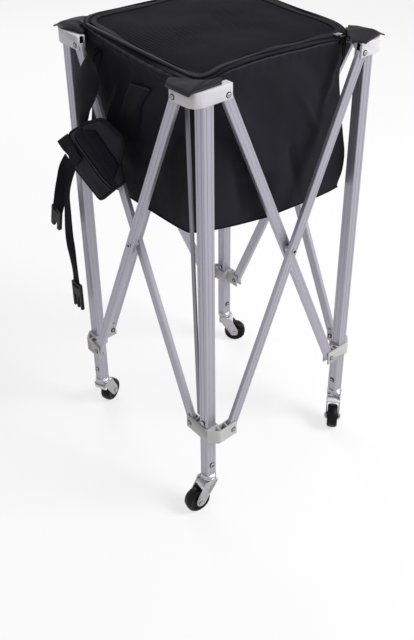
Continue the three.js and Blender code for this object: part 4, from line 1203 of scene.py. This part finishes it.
class HOPPER_OT_pad(bpy.types.Operator):
    """The padded shoulder piece, swollen by a cloth simulation and then seamed and piped"""

    bl_idname = "hopper.pad"
    bl_label = "Shoulder pad"

    # Places are y and z in the strap's plane: the pad's middle, its outline and the lines on its outer face
    middle = Vector((0.068, 0.697))
    outline = metres((
        (120, 737), (91, 756), (44, 779), (26, 780), (-24, 766), (-22, 750), (-6, 712), (-15, 677),
        (14, 653), (56, 615), (70, 607), (150, 642), (165, 655), (158, 705), (153, 715)))
    groove = metres(((114.2, 738.4), (91, 725.5), (66.6, 711.3), (37.5, 689.6), (8.7, 668.2)))
    hems = metres((
        ((130.5, 708.5), (107.3, 690.3), (77.7, 675.9), (49, 658.7), (18, 652)),
        ((123, 718), (93.2, 699.5), (64.1, 684.1), (35.5, 669), (11, 660))))
    net = metres((
        ((105, 736.8), (83.5, 723.4), (60.7, 709.6), (35.9, 690.2), (12.6, 673.4)),
        ((59.5, 752.6), (38.4, 742.4), (19.4, 728.8), (4, 719.5), (-4.5, 706.5))))
    patch = metres(((151.9, 657.4), (120.3, 689.4), (105, 682), (136.2, 651.2)))
    tab = metres(((199, 680.7), (155.2, 712.8), (118.8, 689), (152.1, 656.3)))
    # The shares of the outline that the cloth and the piping reach, and the reach where no side is met
    cloth_share, piping_share, least_reach = 0.965, 0.985, 0.03
    # The plain shell's thickness and its place off the strap's plane, and how finely it is remade
    thick, off, voxel = 0.009, 0.0006, 0.0042
    # How far it may swell, the simulation's pressure and frames, and the share past which the seam is held
    swell = 0.006
    pressure, frames, seam_share = 4, 20, 0.9
    # How far the hem's ridge stands out and the groove is let in, their widths, and the puckers
    ridge_out, ridge_wide, groove_in, groove_wide, puckers = metres((5, 11, 5.5, 4.2, 1))
    # The planes that the outer and the inner face stay within
    outermost, innermost = -0.2335, -0.2140
    # Radius of the piping and of the hems, and how far each trim stands off the pad's face
    piping, hem, hem_lift = metres((2.4, 1.3, 0.3))
    net_lift, net_puff, net_thick = metres((1, 1, 1.6))
    patch_lift, patch_thick = 0.0034, 0.0014
    tab_lift, tab_off, tab_wave, tab_thick = metres((1.8, 3, 1.2, 2.2))

    def edge(self, way):
        """How far the pad's outline is from its middle in a direction."""
        points = [Vector(p) for p in self.outline]
        best = self.least_reach
        for a, b in zip(points, points[1:] + points[:1]):
            side, start = b - a, a - self.middle
            cross = way.x * side.y - way.y * side.x
            if abs(cross) > 1e-9:
                reach = (start.x * side.y - start.y * side.x) / cross
                share = (start.x * way.y - start.y * way.x) / cross
                if reach > 0 and -1e-6 <= share <= 1 + 1e-6:
                    best = reach
        return best

    def flat(self, angle, reach):
        way = Vector((math.cos(angle), math.sin(angle)))
        return self.middle + way * (self.edge(way) * reach)

    @staticmethod
    def beside(y, z, points, width):
        """1 on a line across the pad, falling away to 0 within about its width."""
        return max(ridge(y, z, (*a, *b, width, 1)) for a, b in zip(points, points[1:]))

    @staticmethod
    def within(corners, u, v):
        """A place inside a four-sided outline."""
        a, b, c, d = (Vector(p) for p in corners)
        return a.lerp(d, u).lerp(b.lerp(c, u), v)

    def blow(self, pad):
        """Swells the pad as a cloth shell held at its seam, and caps how far a point may go."""
        modify(pad, "REMESH", mode="VOXEL", voxel_size=self.voxel)
        seam = pad.vertex_groups.new(name="seam")
        for vertex in pad.data.vertices:
            way = vertex.co.yz - self.middle
            if way.length > self.seam_share * self.edge(way.normalized()):
                seam.add([vertex.index], 1, "REPLACE")
        start = [v.co.copy() for v in pad.data.vertices]
        cloth = pad.modifiers.new("Cloth", "CLOTH")
        cloth.settings.vertex_group_mass = seam.name
        cloth.settings.use_pressure = True
        cloth.settings.uniform_pressure_force = self.pressure
        cloth.settings.effector_weights.gravity = 0
        for frame_number in range(1, self.frames + 1):
            bpy.context.scene.frame_set(frame_number)
        bpy.context.view_layer.objects.active = pad
        bpy.ops.object.modifier_apply(modifier=cloth.name)
        bpy.context.scene.frame_set(1)
        for vertex, before in zip(pad.data.vertices, start):
            move = vertex.co - before
            if move.length > self.swell:
                vertex.co = before + move * (self.swell / move.length)

    def execute(self, context):
        made = finishes()

        def place(u, v):
            s, t = 2 * u - 1, 2 * v - 1
            reach = max(abs(s), abs(t))
            point = self.flat(math.atan2(t, s), reach * self.cloth_share)
            return Vector((STRAP_X + self.off, point.x, point.y))

        pad = sheet("pad_body", made["pad"], 44, 44, place, self.thick, (0.19, 0.18), 0)
        self.blow(pad)
        for vertex in pad.data.vertices:
            x, y, z = vertex.co
            if x < STRAP_X:
                pucker = self.puckers * noise.noise(Vector((y * 40, z * 40, 4)))
                x -= self.ridge_out * self.beside(y, z, self.hems[1], self.ridge_wide) + pucker
                x += self.groove_in * self.beside(y, z, self.groove, self.groove_wide)
            vertex.co.x = min(max(x, self.outermost), self.innermost)
        modify(pad, "SUBSURF", levels=1, render_levels=1)
        smooth(pad)
        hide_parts("strap_pad")
        self.trim(pad, made)
        return {"FINISHED"}

    def trim(self, pad, made):
        """The piping, seams, mesh band, stitched patch and tab on the pad's outer face."""
        deselect()
        outer_face = [v.co for v in pad.data.vertices if v.co.x < STRAP_X]

        def on(y, z, lift):
            nearest = min(outer_face, key=lambda p: (p.y - y) ** 2 + (p.z - z) ** 2)
            return Vector((nearest.x - lift, y, z))

        inner, outer = ([Vector(p) for p in side] for side in self.net)

        def net(u, v):
            lift = self.net_lift + self.net_puff * math.sin(HALF_TURN * v)
            return on(*curve(inner, u).lerp(curve(outer, u), v), lift)

        def patch(u, v):
            return on(*self.within(self.patch, u, v), self.patch_lift)

        def tab(u, v):
            y, z = self.within(self.tab, u, v)
            hung = STRAP_X - self.tab_off - self.tab_wave * math.sin(3 * u + v)
            laid = on(y, z, self.tab_lift).x
            return Vector((hung + (laid - hung) * rise(u, 0.35, 0.75), y, z))

        edge = [(STRAP_X, *self.flat(TURN * i / 72, self.piping_share)) for i in range(72)]
        pieces = [pad, tube("pad_piping", made["binding"], edge, self.piping, 8, True, 216)]
        for i, hem in enumerate(self.hems):
            flat = [Vector(p) for p in hem]
            points = [on(*curve(flat, share), self.hem_lift) for share in shares(20)]
            pieces.append(tube(f"pad_hem_{i}", made["binding"], points, self.hem, 8, steps=60))
        pieces += [
            sheet("pad_net", made["netting"], 36, 10, net, self.net_thick, (0.125, 0.045)),
            sheet("pad_patch", made["webbing"], 14, 8, patch, self.patch_thick, (0.02, 0.045)),
            sheet("pad_tab", made["webbing"], 22, 8, tab, self.tab_thick, (0.055, 0.04))]
        for piece in pieces:
            carry(piece, "left_leg", "webbing")


class HOPPER_OT_hardware(bpy.types.Operator):
    """Finishes of the buckles and the zip pull"""

    bl_idname = "hopper.hardware"
    bl_label = "Buckles and zip pull"

    def execute(self, context):
        for name in ("buckle_female", "buckle_male", "zip_pull"):
            dress(frame["nodes"][name], finishes()["buckle"])
        return {"FINISHED"}


class HOPPER_OT_stage(bpy.types.Operator):
    """Camera, pale floor and soft studio light"""

    bl_idname = "hopper.stage"
    bl_label = "Stage"

    # The camera: its place, and its turns about the upright, across the view and about the view
    place = (-0.93143, -1.07199, 1.36524)
    azimuth, tilt, roll = -0.7015847, 0.5270550, -0.0108996
    # The picture's size, and the camera's focal length and the foot of its axis, in pixels
    photo_wide, photo_high, focal, axis_across, axis_down = 414, 640, 835.85, 206.595, 206.245
    sensor = 36
    # Name, place, size and power of each lamp, and what they all point at
    lamps = (
        ("key", (1.7, -2.5, 2.8), 1.6, 122), ("fill", (-2.9, -0.6, 1.8), 2.2, 4),
        ("back", (0.9, 2.8, 2.4), 1.8, 30))
    target = Vector((0, 0, 0.5))
    floor_radius, floor_drop = 9, 0.0006
    # Light that the floor gives off, and the world's light: where it lights things and where it is seen
    floor_glow, sky_light, sky_glow = 0.68, 0.41, 0.59

    def execute(self, context):
        self.camera(context)
        self.floor()
        self.world(context)
        for name, place, size, energy in self.lamps:
            deselect()
            bpy.ops.object.light_add(type="AREA", location=place)
            lamp = context.object
            lamp.name = "lamp_" + name
            lamp.data.shape = "SQUARE"
            lamp.data.size = size
            lamp.data.energy = energy
            lamp.rotation_euler = (self.target - Vector(place)).to_track_quat("-Z", "Y").to_euler()
        context.scene.view_settings.view_transform = "Standard"
        return {"FINISHED"}

    def camera(self, context):
        turn, tilt, roll = self.azimuth, self.tilt, self.roll
        right = Vector((math.cos(turn), math.sin(turn), 0))
        back = Vector((math.sin(turn) * math.cos(tilt), -math.cos(turn) * math.cos(tilt), math.sin(tilt)))
        up = back.cross(right)
        right, up = (
            right * math.cos(roll) + up * math.sin(roll), up * math.cos(roll) - right * math.sin(roll))
        deselect()
        bpy.ops.object.camera_add(location=self.place)
        camera = context.object
        camera.name = "camera"
        camera.rotation_euler = Matrix((right, up, back)).transposed().to_euler()
        camera.data.sensor_fit = "VERTICAL"
        camera.data.sensor_height = self.sensor
        camera.data.lens = self.sensor * self.focal / self.photo_high
        camera.data.shift_x = (self.photo_wide / 2 - self.axis_across) / self.photo_high
        camera.data.shift_y = (self.axis_down - self.photo_high / 2) / self.photo_high
        context.scene.camera = camera

    def floor(self):
        deselect()
        bpy.ops.mesh.primitive_circle_add(
            vertices=96, radius=self.floor_radius, fill_type="NGON", location=(0, 0, -self.floor_drop))
        finish = Finish("studio floor", Roughness=0.9, Specular_IOR_Level=0.1)
        grain = finish.noise(finish.coordinates(), 6, 3)
        finish.feed(Base_Color=finish.blend(grain, (0.95, 0.95, 0.955, 1), (0.97, 0.97, 0.975, 1)))
        glow = finish.node("ShaderNodeEmission", None, {"Strength": 1.0})
        shaded = Value(finish, finish.shader.outputs[0])
        share = finish.seen() * self.floor_glow
        mixed = finish.node("ShaderNodeMixShader", None, {0: share, 1: shaded, 2: glow})
        finish.tree.links.new(mixed.socket, finish.output.inputs[0])
        adopt("studio_floor", finish.material)

    def world(self, context):
        context.scene.world = bpy.data.worlds.new("studio")
        context.scene.world.use_nodes = True
        sky = Nodes(context.scene.world.node_tree)
        strength = sky.seen() * self.sky_glow + self.sky_light
        light = sky.node("ShaderNodeBackground", None, {"Color": (1, 1, 1, 1), "Strength": strength})
        output = sky.tree.nodes.new("ShaderNodeOutputWorld")
        sky.tree.links.new(light.socket, output.inputs[0])


class HOPPER_PT_panel(bpy.types.Panel):
    """Sidebar panel with the hopper's operators"""

    bl_idname = "HOPPER_PT_panel"
    bl_label = "Ball hopper"
    bl_space_type = "VIEW_3D"
    bl_region_type = "UI"
    bl_category = "Hopper"

    def draw(self, context):
        for operator in OPERATORS:
            self.layout.operator(operator.bl_idname)


OPERATORS = (
    HOPPER_OT_stage, HOPPER_OT_frame, HOPPER_OT_castings, HOPPER_OT_rivets, HOPPER_OT_bolts, HOPPER_OT_bag,
    HOPPER_OT_lid, HOPPER_OT_ears, HOPPER_OT_strap, HOPPER_OT_pad, HOPPER_OT_hardware)
CLASSES = (HopperSizes, HopperColours, *OPERATORS, HOPPER_PT_panel)


def register():
    for cls in CLASSES:
        bpy.utils.register_class(cls)
    bpy.types.Scene.hopper_sizes = bpy.props.PointerProperty(type=HopperSizes)
    bpy.types.Scene.hopper_colours = bpy.props.PointerProperty(type=HopperColours)


def unregister():
    del bpy.types.Scene.hopper_colours
    del bpy.types.Scene.hopper_sizes
    for cls in reversed(CLASSES):
        bpy.utils.unregister_class(cls)


def main():
    register()
    for operator in OPERATORS:
        group, name = operator.bl_idname.split(".")
        getattr(getattr(bpy.ops, group), name)()


if __name__ == "__main__":
    main()
